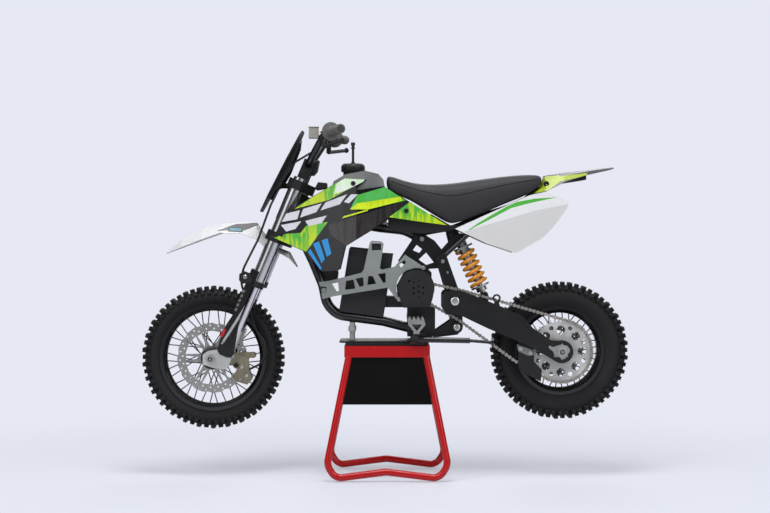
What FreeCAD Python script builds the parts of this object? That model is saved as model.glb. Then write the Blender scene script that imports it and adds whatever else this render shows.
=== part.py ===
import FreeCAD, Part
import math
import os
import Sketcher

# Child-sized electric dirt bike on its tubular paddock stand. Millimetres.
# Front toward -X, the bike's left side toward -Y, floor at z = 0.

V = FreeCAD.Vector
os.makedirs("parts", exist_ok=True)
doc = FreeCAD.newDocument("dirt_bike")
sheet = doc.addObject("Spreadsheet::Sheet", "sizes")

# Driving sizes: name, value, what it is
SIZES = (
    ("front_axle_x", -541, "front axle place"),
    ("front_axle_z", 373, "front axle height"),
    ("rear_axle_x", 549, "rear axle place"),
    ("rear_axle_z", 395, "rear axle height"),
    ("front_tyre_r", 225, "front tyre over its tread"),
    ("front_tyre_half", 34, "front tyre half width"),
    ("rear_tyre_r", 217, "rear tyre over its tread"),
    ("rear_tyre_half", 41, "rear tyre half width"),
    ("front_rim_r", 168, "front rim flange"),
    ("front_rim_half", 26, "front rim half width"),
    ("rear_rim_r", 140, "rear rim flange"),
    ("rear_rim_half", 32, "rear rim half width"),
    ("rim_depth", 22, "flange edge to spoke bed"),
    ("spoke_r", 1.7, "spoke wire"),
    ("spokes_per_side", 18, "spokes on each hub flange"),
    ("axle_r", 7.5, "both axles"),
    ("axle_bore_r", 4, "bore through both axles"),
    ("run_gap", 0.15, "running gap at a bearing"),
    ("front_disc_r", 110, "front brake disc"),
    ("rear_disc_r", 85, "rear brake disc"),
    ("disc_thick", 3.5, "brake discs"),
    ("front_disc_y", -48, "front disc plane"),
    ("rear_disc_y", 55, "rear disc plane"),
    ("teeth", 48, "rear sprocket teeth"),
    ("chain_pitch", 12.7, "chain pitch"),
    ("chain_y", -62, "chain line"),
    ("link_r", 5.8, "half the height of a chain link"),
    ("motor_x", 97, "motor centre"),
    ("motor_z", 593, "motor centre height"),
    ("motor_r", 52, "motor body"),
    ("drive_r", 22.5, "drive sprocket pitch circle"),
    ("rake", 22.5, "steering rake in degrees"),
    ("steer_x", -376, "point on the steering axis"),
    ("steer_z", 591, "height of that point"),
    ("leg_y", 85, "fork leg out from the middle"),
    ("leg_lead", 28, "fork legs ahead of the steering axis"),
    ("tube_top_r", 23, "upper fork tube"),
    ("tube_low_r", 15, "lower fork tube"),
    ("stem_r", 12.5, "steering stem"),
    ("bar_r", 11, "handlebar tube"),
    ("hose_r", 3.5, "front brake hose"),
    ("frame_r", 17, "frame spine tube"),
    ("cradle_r", 14, "frame cradle tubes"),
    ("cradle_y", 40, "cradle tubes out from the middle"),
    ("tail_r", 9, "seat frame tubes"),
    ("stay_r", 7.5, "seat frame stays"),
    ("pivot_x", 217, "swingarm pivot"),
    ("pivot_z", 552, "swingarm pivot height"),
    ("pivot_r", 9, "swingarm pivot bolt"),
    ("arm_in", 72, "swingarm inner face"),
    ("arm_out", 98, "swingarm outer face"),
    ("plate_in", 48, "frame pivot plate inner face"),
    ("plate_out", 56, "frame pivot plate outer face"),
    ("bracket_y", -85, "cut plate by the motor"),
    ("bracket_thick", 6, "that plate"),
    ("coil_r", 25, "shock spring mean radius"),
    ("coil_wire_r", 6.2, "shock spring wire"),
    ("coil_turns", 6, "shock spring turns"),
    ("stand_tube_r", 11, "paddock stand tube"),
    ("stand_foot_y", 164, "stand tube at the floor"),
    ("stand_top_y", 104, "stand tube under the tray"),
    ("tray_x0", -126, "tray front edge"),
    ("tray_x1", 139, "tray rear edge"),
    ("tray_half", 116, "tray half width"),
    ("tray_z0", 379, "tray underside"),
    ("tray_z1", 414, "tray top"),
    ("mat_thick", 8, "rubber mat on the tray"),
    ("skid_z", 422, "underside of the flat steel plate"),
    ("skid_thick", 5, "flat steel plate"),
    ("panel_thick", 5, "plastic panels"),
    ("peg_y", 128, "foot peg root"),
    ("peg_long", 75, "foot peg length"),
    ("kick_x", 92, "side stand pivot"),
    ("kick_y", -134, "side stand pivot, across"),
    ("kick_z", 434, "side stand pivot height"),
)
for row, (name, value, note) in enumerate(SIZES, start=1):
    sheet.set("A%d" % row, note)
    sheet.set("B%d" % row, str(value))
    sheet.setAlias("B%d" % row, name)
doc.recompute()


def g(name):
    return float(sheet.get(name))


def bind(obj, prop, expr):
    obj.setExpression(prop, expr)


def face_plane(body, role):
    for item in body.Origin.OriginFeatures:
        if item.Role == role:
            return item


def new_sketch(body, role, offset=0.0):
    sk = body.newObject("Sketcher::SketchObject", body.Name + "_sketch")
    sk.AttachmentSupport = [(face_plane(body, role), "")]
    sk.MapMode = "FlatFace"
    if offset:
        sk.AttachmentOffset = FreeCAD.Placement(V(0, 0, offset), FreeCAD.Rotation())
    return sk


def ring(sk, pts):
    n = len(pts)
    first = sk.GeometryCount
    for i in range(n):
        a, b = pts[i], pts[(i + 1) % n]
        sk.addGeometry(Part.LineSegment(V(a[0], a[1], 0), V(b[0], b[1], 0)), False)
    for i in range(n):
        sk.addConstraint(Sketcher.Constraint("Coincident", first + i, 2, first + (i + 1) % n, 1))


def hole(sk, x, z, r):
    sk.addGeometry(Part.Circle(V(x, z, 0), V(0, 0, 1), r), False)


# A flat piece standing in the side view: outline in x and z, thickness along y
def side_plate(name, outline, y_mid, thick, windows=(), holes=()):
    body = doc.addObject("PartDesign::Body", name)
    sk = new_sketch(body, "XZ_Plane")
    ring(sk, outline)
    for w in windows:
        ring(sk, w)
    for x, z, r in holes:
        hole(sk, x, z, r)
    pad = body.newObject("PartDesign::Pad", name + "_pad")
    pad.Profile = sk
    pad.Midplane = True
    bind(pad, "Length", thick)
    bind(body, "Placement.Base.y", y_mid)
    return body


# A piece seen from above: outline in x and y, height along z
def plan_plate(name, outline, z_low, thick, holes=()):
    body = doc.addObject("PartDesign::Body", name)
    sk = new_sketch(body, "XY_Plane")
    ring(sk, outline)
    for x, y, r in holes:
        hole(sk, x, y, r)
    pad = body.newObject("PartDesign::Pad", name + "_pad")
    pad.Profile = sk
    bind(pad, "Length", thick)
    bind(body, "Placement.Base.z", z_low)
    return body


# A turned piece about an axle along y: profile points are radius and y
def turned(name, profile, at_x, at_z, y_mid="0 mm"):
    body = doc.addObject("PartDesign::Body", name)
    sk = new_sketch(body, "XY_Plane")
    ring(sk, profile)
    rev = body.newObject("PartDesign::Revolution", name + "_turn")
    rev.Profile = sk
    rev.ReferenceAxis = (sk, ["V_Axis"])
    rev.Angle = 360
    bind(body, "Placement.Base.x", at_x)
    bind(body, "Placement.Base.y", y_mid)
    bind(body, "Placement.Base.z", at_z)
    return body


# A form through cross sections standing across x: each is x and a list of y and z
def across_loft(name, stations):
    body = doc.addObject("PartDesign::Body", name)
    sketches = []
    for x, pts in stations:
        sk = new_sketch(body, "YZ_Plane", x)
        ring(sk, pts)
        sketches.append(sk)
    loft = body.newObject("PartDesign::AdditiveLoft", name + "_loft")
    loft.Profile = sketches[0]
    loft.Sections = sketches[1:]
    loft.Ruled = True
    return body


def box(name, x0, x1, y0, y1, z0, z1):
    b = doc.addObject("Part::Box", name)
    b.Length, b.Width, b.Height = x1 - x0, y1 - y0, z1 - z0
    b.Placement.Base = V(x0, y0, z0)
    return b


def rod(name, a, b, r):
    a, b = V(*a), V(*b)
    c = doc.addObject("Part::Cylinder", name)
    if isinstance(r, str):
        bind(c, "Radius", r)
    else:
        c.Radius = r
    c.Height = (b - a).Length
    c.Placement = FreeCAD.Placement(a, FreeCAD.Rotation(V(0, 0, 1), b - a))
    return c


def cross_rod(name, x, z, y0, y1, r):
    return rod(name, (x, y0, z), (x, y1, z), r)


# Bent tube: straight runs joined by tangent arcs
def bent_wire(points, bend):
    pts = [V(*p) for p in points]
    edges = []
    start = pts[0]
    for i in range(1, len(pts) - 1):
        p, c, n = pts[i - 1], pts[i], pts[i + 1]
        d0 = (c - p).normalize()
        d1 = (n - c).normalize()
        half = d0.getAngle(d1) / 2
        if half < 0.001:
            continue
        room = 0.45 * min((c - p).Length, (n - c).Length)
        radius = min(bend, room / math.tan(half))
        cut = radius * math.tan(half)
        a = c - d0 * cut
        b = c + d1 * cut
        inward = (d1 - d0).normalize()
        mid = c + inward * (radius / math.cos(half) - radius)
        if (a - start).Length > 0.01:
            edges.append(Part.LineSegment(start, a).toShape())
        edges.append(Part.Arc(a, mid, b).toShape())
        start = b
    edges.append(Part.LineSegment(start, pts[-1]).toShape())
    return Part.Wire(edges)


def tube_shape(points, r, bend):
    wire = bent_wire(points, bend)
    a, b = V(*points[0]), V(*points[1])
    ring_wire = Part.Wire(Part.Circle(a, b - a, r).toShape())
    return wire.makePipeShell([ring_wire], True, False)


def tube(name, points, size, bend):
    f = doc.addObject("Part::Feature", name)
    f.Shape = tube_shape(points, g(size), bend)
    return f


def fused(name, parts):
    f = doc.addObject("Part::MultiFuse", name)
    f.Shapes = parts
    f.Refine = False
    return f


def grouped(name, parts):
    f = doc.addObject("Part::Compound", name)
    f.Links = parts
    return f


def carved(name, base, tools):
    f = doc.addObject("Part::Cut", name)
    f.Base = base
    if len(tools) > 1:
        f.Tool = fused(name + "_tools", tools)
    else:
        f.Tool = tools[0]
    return f


def common(name, a, b):
    f = doc.addObject("Part::Common", name)
    f.Base = a
    f.Tool = b
    return f


NODES = []


def node(obj, label):
    obj.Label = label
    NODES.append(obj)
    return obj


SIDES = (("left", -1), ("right", 1))


# Wheels: tyre, rim with its spoke bed, hub with crossed spokes
def wheel(tag, tyre_r, tyre_half, rim_r, rim_half, at_x, at_z, shift):
    R, W = g(tyre_r), g(tyre_half)
    F, B = g(rim_r), g(rim_half)
    seat = F - 8
    bed = F - g("rim_depth")
    lip = B - 4
    outer = ((seat, lip), (F + 1, lip), (F + (R - F) * 0.33, W), (F + (R - F) * 0.66, W),
             (R - 3, W * 0.62), (R, W * 0.3), (R, -W * 0.3), (R - 3, -W * 0.62),
             (F + (R - F) * 0.66, -W), (F + (R - F) * 0.33, -W), (F + 1, -lip), (seat, -lip))
    inner = ((seat, -lip + 8), (F + 2, -lip + 7), (F + (R - F) * 0.5, -W + 7), (R - 12, -W * 0.5),
             (R - 12, W * 0.5), (F + (R - F) * 0.5, W - 7), (F + 2, lip - 7), (seat, lip - 8))
    tyre = turned(tag + "_tyre", outer + inner, at_x, at_z)
    node(tyre, tag + "_tyre")
    rim = turned(tag + "_rim", ((F, B), (F, lip), (seat, lip), (seat, lip - 9), (bed + 3, lip - 13),
                 (bed + 3, 13 - lip), (seat, 9 - lip), (seat, -lip), (F, -lip), (F, -B),
                 (seat - 3, -B), (seat - 3, 11 - B), (bed, 14 - lip), (bed, lip - 14),
                 (seat - 3, B - 11), (seat - 3, B)), at_x, at_z)
    node(rim, tag + "_rim")
    bore = g("axle_r") + g("run_gap")
    left, right = shift
    shell = turned(tag + "_hub_shell", ((bore, left), (33, left), (33, left + 6), (30, left + 7),
                   (30, left + 11), (17, left + 14), (17, right - 14), (30, right - 11),
                   (30, right - 7), (33, right - 6), (33, right), (bore, right)), at_x, at_z)
    parts = [shell]
    cx, cz = g(at_x.split(".")[1]), g(at_z.split(".")[1])
    count = int(g("spokes_per_side"))
    for side, y_hub in ((-1, left + 9), (1, right - 9)):
        for k in range(count):
            a = 2 * math.pi * (k + (0.25 if side > 0 else -0.25)) / count
            lean = math.radians(62) if k % 2 else -math.radians(62)
            p = (cx + 26 * math.cos(a + lean), y_hub, cz + 26 * math.sin(a + lean))
            q = (cx + (bed + 1.5) * math.cos(a), side * 5, cz + (bed + 1.5) * math.sin(a))
            parts.append(rod("%s_spoke_%d_%d" % (tag, side + 1, k), p, q, "sizes.spoke_r"))
    hub = fused(tag + "_hub_raw", parts)
    node(carved(tag + "_hub", hub, [rim]), tag + "_hub")


wheel("front", "front_tyre_r", "front_tyre_half", "front_rim_r", "front_rim_half",
      "sizes.front_axle_x", "sizes.front_axle_z", (-46.25, 40))
wheel("rear", "rear_tyre_r", "rear_tyre_half", "rear_rim_r", "rear_rim_half",
      "sizes.rear_axle_x", "sizes.rear_axle_z", (-59.5, 53.25))

FX, FZ = g("front_axle_x"), g("front_axle_z")
RX, RZ = g("rear_axle_x"), g("rear_axle_z")
MX, MZ = g("motor_x"), g("motor_z")
PX, PZ = g("pivot_x"), g("pivot_z")


def polar(r, deg, cx=0.0, cz=0.0):
    a = math.radians(deg)
    return (cx + r * math.cos(a), cz + r * math.sin(a))


def on_axle(body, tag):
    bind(body, "Placement.Base.x", "sizes.%s_axle_x" % tag)
    bind(body, "Placement.Base.z", "sizes.%s_axle_z" % tag)
    return body


# Brake discs: scalloped rim, two rows of holes, six arms to the hub
def disc(tag, arms, scallops, half_row):
    R = g(tag + "_disc_r")
    edge = []
    for k in range(scallops):
        a = 360.0 / scallops
        edge += [polar(R, a * k), polar(R, a * (k + 0.5)), polar(R - 4, a * (k + 0.75))]
    windows = []
    for k in range(arms):
        a = 360.0 / arms * k
        b = 360.0 / arms
        windows.append([polar(R - 25, a + 8), polar(R - 25, a + b / 2), polar(R - 25, a + b - 8),
                        polar(38, a + b - 20), polar(38, a + 20)])
    holes = [(0, 0, 20)]
    for k in range(half_row):
        a = 360.0 / half_row
        holes.append(polar(R - 8.5, a * k + 4) + (2.6,))
        holes.append(polar(R - 17.5, a * (k + 0.5) + 4) + (2.6,))
    d = side_plate(tag + "_disc_plate", edge, "sizes.%s_disc_y" % tag, "sizes.disc_thick", windows, holes)
    return node(on_axle(d, tag), tag + "_disc")


disc("front", 6, 12, 24)
disc("rear", 6, 12, 18)

# Rear sprocket: teeth from the chain's pitch, eight large and eight small holes
teeth = int(g("teeth"))
pitch_r = g("chain_pitch") / (2 * math.sin(math.pi / teeth))
rim_pts = []
for k in range(teeth):
    a = 360.0 / teeth
    rim_pts += [polar(pitch_r - 5, a * (k - 0.3)), polar(pitch_r - 5, a * (k + 0.3)),
                polar(pitch_r + 4, a * (k + 0.43)), polar(pitch_r + 4, a * (k + 0.57))]
holes = [(0, 0, 20)]
for k in range(8):
    holes.append(polar(66, 45 * k) + (13.5,))
    holes.append(polar(77, 45 * k + 22.5) + (7,))
sprocket = side_plate("sprocket_plate", rim_pts, "sizes.chain_y", "5 mm", (), holes)
node(on_axle(sprocket, "rear"), "rear_sprocket")


# Chain: one closed loop of side plates round both sprockets and over the roller
def touch_point(p, c, r, upper):
    dx, dz = p[0] - c[0], p[1] - c[1]
    dist = math.hypot(dx, dz)
    base = math.atan2(dz, dx)
    turn = math.acos(r / dist)
    options = [(c[0] + r * math.cos(base + s * turn), c[1] + r * math.sin(base + s * turn)) for s in (1, -1)]
    options.sort(key=lambda q: q[1])
    return options[1] if upper else options[0]


slider = (245, 584)
over_roller = (228, 495)
at_guide = (404, 365)
drive_r = g("drive_r")
top_a = touch_point(slider, (MX, MZ), drive_r, True)
top_b = touch_point(slider, (RX, RZ), pitch_r, True)
low_a = touch_point(over_roller, (MX, MZ), drive_r, False)
low_b = touch_point(at_guide, (RX, RZ), pitch_r, False)


def at_y0(p):
    return (p[0], 0, p[1])


upper_run = bent_wire([at_y0(top_a), at_y0(slider), at_y0(top_b)], 150)
lower_run = bent_wire([at_y0(low_b), at_y0(at_guide), at_y0(over_roller), at_y0(low_a)], 60)
back_arc = Part.Arc(V(*at_y0(top_b)), V(RX + pitch_r, 0, RZ), V(*at_y0(low_b))).toShape()
front_arc = Part.Arc(V(*at_y0(low_a)), V(MX - drive_r, 0, MZ), V(*at_y0(top_a))).toShape()
loop = Part.Wire(Part.__sortEdges__(upper_run.Edges + [back_arc] + lower_run.Edges + [front_arc]))
link_half = g("link_r")
band_out = Part.Face(loop.makeOffset2D(link_half))
band_in = Part.Face(loop.makeOffset2D(-link_half))
band = band_out.cut(band_in)
bands = []
for i, off in enumerate((-5.5, 3.2)):
    strip = doc.addObject("Part::Feature", "chain_band_%d" % i)
    strip.Shape = band.extrude(V(0, 2.3, 0))
    strip.Placement.Base = V(0, g("chain_y") + off, 0)
    bands.append(strip)
node(grouped("chain_loop", bands), "drive_chain")

# Steering frame: u behind the steering axis, w up along it
lean = math.radians(g("rake"))
SX, SZ = g("steer_x"), g("steer_z")
turn_y = FreeCAD.Rotation(V(0, 1, 0), g("rake"))


def P(u, y, w):
    return (SX + u * math.cos(lean) + w * math.sin(lean), y, SZ - u * math.sin(lean) + w * math.cos(lean))


def steer_rod(name, a, b, r):
    return rod(name, P(*a), P(*b), r)


def steer_box(name, u0, u1, y0, y1, w0, w1):
    b = doc.addObject("Part::Box", name)
    b.Length, b.Width, b.Height = u1 - u0, y1 - y0, w1 - w0
    b.Placement = FreeCAD.Placement(V(*P(u0, y0, w0)), turn_y)
    return b


LU = -g("leg_lead")
LY = g("leg_y")

tubes, lowers, lugs, guards = [], [], [], []
for side, s in SIDES:
    y = s * LY
    tubes.append(fused("upper_tube_" + side, [
        steer_rod("upper_" + side, (LU, y, 0), (LU, y, 352), "sizes.tube_top_r"),
        steer_rod("seal_" + side, (LU, y, -6), (LU, y, 14), 25),
        steer_rod("cap_" + side, (LU, y, 352), (LU, y, 361), 19)]))
    lowers.append(steer_rod("lower_" + side, (LU, y, -170), (LU, y, -6), "sizes.tube_low_r"))
    casting = side_plate("casting_" + side, ((-566, 386), (-552, 396), (-508, 404), (-476, 374), (-492, 340),
                         (-532, 345), (-565, 356)), "%d mm" % (s * 84), "36 mm", (), ((FX, FZ, g("axle_r")),))
    foot = fused("lug_body_" + side, [steer_rod("foot_" + side, (LU, y, -236), (LU, y, -150), 19.5), casting])
    lugs.append(carved("lug_" + side, foot, [
        steer_rod("foot_bore_" + side, (LU, y, -170), (LU, y, -140), "sizes.tube_low_r"),
        cross_rod("lug_axle_way_" + side, FX, FZ, y - 40, y + 40, "sizes.axle_r")]))
    shell = steer_box("guard_out_" + side, -58, -34, y - 27, y + 27, -198, 44)
    hollow = steer_box("guard_in_" + side, -53, -30, y - 23, y + 23, -206, 52)
    pad = steer_box("guard_pad_" + side, -54, -40, y - 12, y + 12, -192, -176)
    cut_guard = fused("guard_body_" + side, [carved("guard_shell_" + side, shell, [hollow]), pad])
    guards.append(carved("guard_" + side, cut_guard, [
        steer_rod("guard_clear_" + side, (LU, y, -215), (LU, y, -150), 19.5),
        steer_rod("guard_seal_" + side, (LU, y, -7), (LU, y, 15), 25.5)]))
node(grouped("fork_tubes_set", tubes), "fork_tubes")
node(grouped("fork_stanchions_set", lowers), "fork_stanchions")
node(grouped("fork_lugs_set", lugs), "fork_lugs")
node(grouped("fork_guards_set", guards), "fork_guards")


# Yokes: clamp plates round both legs and the stem
def yoke(label, w0, thick):
    body = doc.addObject("PartDesign::Body", label + "_body")
    sk = new_sketch(body, "XY_Plane")
    ring(sk, ((LU - 30, -LY + 14), (LU - 30, -LY - 10), (LU - 13, -LY - 27), (LU + 13, -LY - 27),
              (LU + 30, -LY - 10), (LU + 30, -LY + 16), (22, -26), (26, 0), (22, 26),
              (LU + 30, LY - 16), (LU + 30, LY + 10), (LU + 13, LY + 27), (LU - 13, LY + 27),
              (LU - 30, LY + 10), (LU - 30, LY - 14), (-34, 30), (-34, -30)))
    hole(sk, LU, -LY, g("tube_top_r"))
    hole(sk, LU, LY, g("tube_top_r"))
    hole(sk, 0, 0, g("stem_r"))
    pad = body.newObject("PartDesign::Pad", label + "_pad")
    pad.Profile = sk
    pad.Length = thick
    body.Placement = FreeCAD.Placement(V(*P(0, 0, w0)), turn_y)
    return body


node(yoke("upper_yoke", 322, 30), "upper_yoke")
low_yoke = yoke("lower_yoke", 146, 32)
stem = steer_rod("stem_rod", (0, 0, 146), (0, 0, 352), "sizes.stem_r")
node(low_yoke, "lower_yoke")
node(stem, "steering_stem")

# Handlebar, its clamp, grips and levers
yoke_top, bar_rise, bar_u = 352, 56, -23
bar_w = yoke_top + bar_rise
bar_x, bar_z = P(bar_u, 0, bar_w)[0], P(bar_u, 0, bar_w)[2]


# Point given from the bar's middle
def from_bar(dx, y, dz):
    return V(bar_x + dx, y, bar_z + dz)


bar_bends = ((0, 0, 0), (0, 60, 0), (43, 128, 73), (75, 186, 96), (109, 298, 98))
right_side = [tuple(from_bar(*bend)) for bend in bar_bends]
left_side = [(x, -y, z) for x, y, z in reversed(right_side[1:])]
bar = tube("bar_tube", left_side + right_side[1:], "bar_r", 60)
node(bar, "handlebar")
clamp_parts = []
for side, s in SIDES:
    y0, y1 = sorted((s * 16, s * 44))
    clamp_parts.append(carved("clamp_" + side, steer_box("riser_" + side, bar_u - 18, bar_u + 18, y0, y1,
                                                              yoke_top, bar_w + 16), [bar]))
node(grouped("clamp_set", clamp_parts), "bar_clamp")
grips, levers = [], []
for side, s in SIDES:
    a, b = from_bar(76, s * 190, 96.1), from_bar(108.7, s * 297, 98)
    d = (b - a).normalize()
    body = fused("grip_body_" + side, [rod("grip_rod_" + side, a, b, 15),
                                       rod("grip_flange_" + side, a, a + d * 5, 29)])
    grips.append(carved("grip_" + side, body, [bar]))
    ring_a, ring_b = from_bar(60, s * 158, 85), from_bar(67, s * 172, 90)
    body = fused("lever_body_" + side, [
        rod("lever_clamp_" + side, ring_a, ring_b, 18),
        rod("lever_neck_" + side, from_bar(59, s * 165, 81), from_bar(57, s * 186, 51), 8),
        rod("lever_blade_" + side, from_bar(57, s * 184, 51), from_bar(111, s * 290, 63), 6)])
    levers.append(carved("lever_" + side, body, [bar]))
node(grouped("grip_set", grips), "grips")
node(grouped("lever_set", levers), "brake_levers")

# Front axle with its collars and nuts
collar_l = cross_rod("collar_left", FX, FZ, -66, -47, 12)
collar_r = cross_rod("collar_right", FX, FZ, 41, 66, 12)
nuts = [cross_rod("nut_left", FX, FZ, -113, -102, 14), cross_rod("nut_right", FX, FZ, 102, 113, 14)]
front_axle = fused("front_axle_raw", [cross_rod("front_pin", FX, FZ, -117, 117, "sizes.axle_r"),
                                      collar_l, collar_r] + nuts)
node(carved("front_axle_bored", front_axle, [cross_rod("front_bore", FX, FZ, -130, 130, "sizes.axle_bore_r")]),
     "front_axle")


# Channel-shaped guard across x: crown height, half width and side drop at each place
def channel(name, stations, t=4):
    out = []
    for x, z, w, d in stations:
        out.append((x, ((-w, z - d), (-w * 0.78, z - d * 0.35), (-w * 0.35, z), (w * 0.35, z),
                        (w * 0.78, z - d * 0.35), (w, z - d), (w - t, z - d - 1),
                        (w * 0.78 - t * 0.6, z - d * 0.35 - t), (w * 0.35, z - t), (-w * 0.35, z - t),
                        (-w * 0.78 + t * 0.6, z - d * 0.35 - t), (-w + t, z - d - 1))))
    return across_loft(name, out)


fender = channel("fender_skin", ((-689, 703, 22, 3), (-640, 745, 46, 26), (-574, 778, 60, 34),
                 (-514, 793, 64, 28), (-453, 799, 62, 36), (-404, 797, 54, 52), (-372, 752, 50, 36),
                 (-335, 718, 46, 14), (-300, 704, 42, 20), (-277, 661, 36, 3)))
fender_lug = steer_box("fender_lug", -50, -10, -20, 20, 120, 146)
node(carved("fender_cut", fused("fender_raw", [fender, fender_lug]), [low_yoke]), "front_fender")

# Number plate: leaning board with a strut to the upper yoke
plate_body = doc.addObject("PartDesign::Body", "number_board")
sk = new_sketch(plate_body, "YZ_Plane")
ring(sk, ((-50, 0), (50, 0), (88, 60), (100, 190), (78, 270), (50, 286), (-50, 286), (-78, 270),
          (-100, 190), (-88, 60)))
pad = plate_body.newObject("PartDesign::Pad", "number_board_pad")
pad.Profile = sk
pad.Length = 4
plate_body.Placement = FreeCAD.Placement(V(-392, 0, 832), FreeCAD.Rotation(V(0, 1, 0), 27.5))
strut = box("number_strut", -350, -280, -18, 18, 905, 921)
upper_yoke = [n for n in NODES if n.Label == "upper_yoke"][0]
cutter = steer_box("number_cutter", -150, -55, -60, 60, 200, 470)
node(carved("number_cut", fused("number_raw", [plate_body, strut]), [upper_yoke]), "number_plate")

# Front caliper on its bracket
caliper = side_plate("caliper_block", ((-452, 366), (-428, 361), (-424, 336), (-414, 312), (-430, 290),
                     (-462, 300), (-476, 313), (-460, 336)), "-49 mm", "34 mm")
caliper_slot = side_plate("caliper_slot", ((-700, 200), (-380, 200), (-380, 500), (-700, 500)),
                          "sizes.front_disc_y", "7 mm")
bracket = side_plate("caliper_bracket", ((-486, 386), (-470, 392), (-424, 372), (-426, 352), (-462, 348),
                     (-492, 352)), "-63 mm", "6 mm")
arm_shape = fused("caliper_raw", [carved("caliper_halves", caliper, [caliper_slot]), bracket,
                  side_plate("caliper_bridge", ((-440, 350), (-414, 312), (-420, 300), (-428, 300),
                             (-424, 318), (-444, 345)), "-49 mm", "34 mm")])
disc_clear = cross_rod("disc_clear", FX, FZ, -53, -43, 113)
front_cal = node(carved("front_caliper_cut", arm_shape, [disc_clear, lugs[0]]), "front_caliper")

# Front brake hose: right lever, across behind the number plate, down the left leg to the caliper
hose = tube("hose_run", [tuple(from_bar(55, 168, 71)), tuple(from_bar(3, 112, 47)),
                         tuple(from_bar(-44, 28, 13)), (-318, -62, 930),
                         (-356, -84, 850), (-394, -88, 745), (-440, -104, 652), (-450, -54, 606),
                         (-432, -51, 548), (-404, -51, 462), (-378, -52, 425), (-370, -54, 388),
                         (-390, -56, 354), (-428, -58, 336)], "hose_r", 30)
node(carved("hose_cut", hose, [front_cal, levers[1]]), "front_brake_hose")

# Main frame: head tube, spine, cradle, pivot plates and the lower mount
bore_r = g("stem_r") + g("run_gap")
head = carved("head_tube", steer_rod("head_out", (0, 0, 184), (0, 0, 316), 24),
              [steer_rod("head_bore", (0, 0, 170), (0, 0, 330), bore_r)])
spine = tube("spine_tube", [(-262, 0, 838), (-120, 0, 800), (-15, 0, 783), (60, 0, 775), (122, 0, 745),
                            (181, 0, 672), (214, 0, 585)], "frame_r", 90)
head_void = steer_rod("head_void", (0, 0, 150), (0, 0, 345), 20)
frame_parts = [head, carved("spine_end", spine, [head_void])]
cy = g("cradle_y")
for side, s in SIDES:
    run = tube("cradle_tube_" + side, [(-284, s * 12, 793), (-224, s * 36, 668), (-196, s * cy, 600),
                                       (-184, s * cy, 540), (-150, s * cy, 505.5), (-6, s * cy, 486.5),
                                       (90, s * cy, 462)], "cradle_r", 70)
    frame_parts.append(carved("cradle_" + side, run, [head_void]))
    plate = side_plate("pivot_plate_" + side, ((158, 690), (190, 700), (240, 560), (244, 470), (228, 446),
                       (150, 436), (150, 452), (205, 490), (196, 560)), "%d mm" % (s * 50), "8 mm", (),
                       ((PX, PZ, g("pivot_r")),))
    frame_parts.append(plate)
frame_parts.append(cross_rod("top_cross", 178, 682, -54, 54, 12))
frame_parts.append(cross_rod("low_cross", 222, 470, -54, 54, 11))
mount_top = g("motor_z") - 60
frame_parts.append(box("lower_mount", 70, 157, -52, 52, 440, mount_top))
frame_parts.append(cross_rod("cradle_cross", -186, 560, -44, 44, 9))
frame_raw = fused("frame_weld", frame_parts)

# Pierced plates that stiffen the bend of the spine
lattice_outline = ((88, 757), (128, 757), (154.8, 741), (188.5, 700), (203, 664), (196, 650), (165, 653),
                   (125, 650), (62, 664), (41, 676), (84, 740))
lattice_windows = (((99.5, 727), (118, 713), (108.5, 701), (87.5, 710)),
                   ((129.5, 703), (155, 671), (131, 663), (106, 680.5)))
lattice = [side_plate("lattice_" + side, lattice_outline, "%d mm" % (s * 31), "6 mm", lattice_windows)
           for side, s in SIDES]
lattice.append(cross_rod("lattice_tie", 64, 684, -31, 31, 6))
node(carved("lattice_cut", fused("lattice_raw", lattice), [frame_raw]), "frame_lattice")

# Battery block resting on the cradle
battery_body = side_plate("battery_block", ((-144, 519), (-5, 500), (26, 700), (-24, 703), (-26, 708),
                          (-112, 716)), "0 mm", "108 mm")
lid = side_plate("battery_lid", ((-110, 715), (-28, 707), (-29, 713), (-109, 721)), "0 mm", "96 mm")
lug = box("battery_lug", -46, -8, -79, -50, 690, 732)
battery = node(carved("battery_cut", fused("battery_raw", [battery_body, lid, lug]), [frame_raw]), "battery_pack")

# Motor, its drive sprocket and cover
motor_round = turned("motor_drum", ((0, -45), (30, -45), (48, -45), (52, -41), (52, 56), (46, 62), (0, 62)),
                     "sizes.motor_x", "sizes.motor_z")
flange_out = ((-57, -45), (-39, -63), (37, -63), (49, -33), (49, 47), (31, 67), (11, 67), (-37, 52), (-61, 7))
flange = side_plate("motor_flange", [(MX + dx, MZ + dz) for dx, dz in flange_out], "-48 mm", "6 mm", (),
                    ((MX, MZ, 14),))
motor_foot = box("motor_foot", MX - 27, MX + 29, -44, 44, mount_top, MZ - 33)
shaft = cross_rod("motor_shaft", MX, MZ, -68, -40, 9)
drive = turned("drive_wheel", ((8, -64.5), (19, -64.5), (19, -59.5), (8, -59.5)), "sizes.motor_x", "sizes.motor_z")
motor_raw = fused("motor_raw", [motor_round, flange, motor_foot, shaft, drive])
motor = node(carved("motor_cut", motor_raw, [frame_raw]), "motor")

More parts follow.
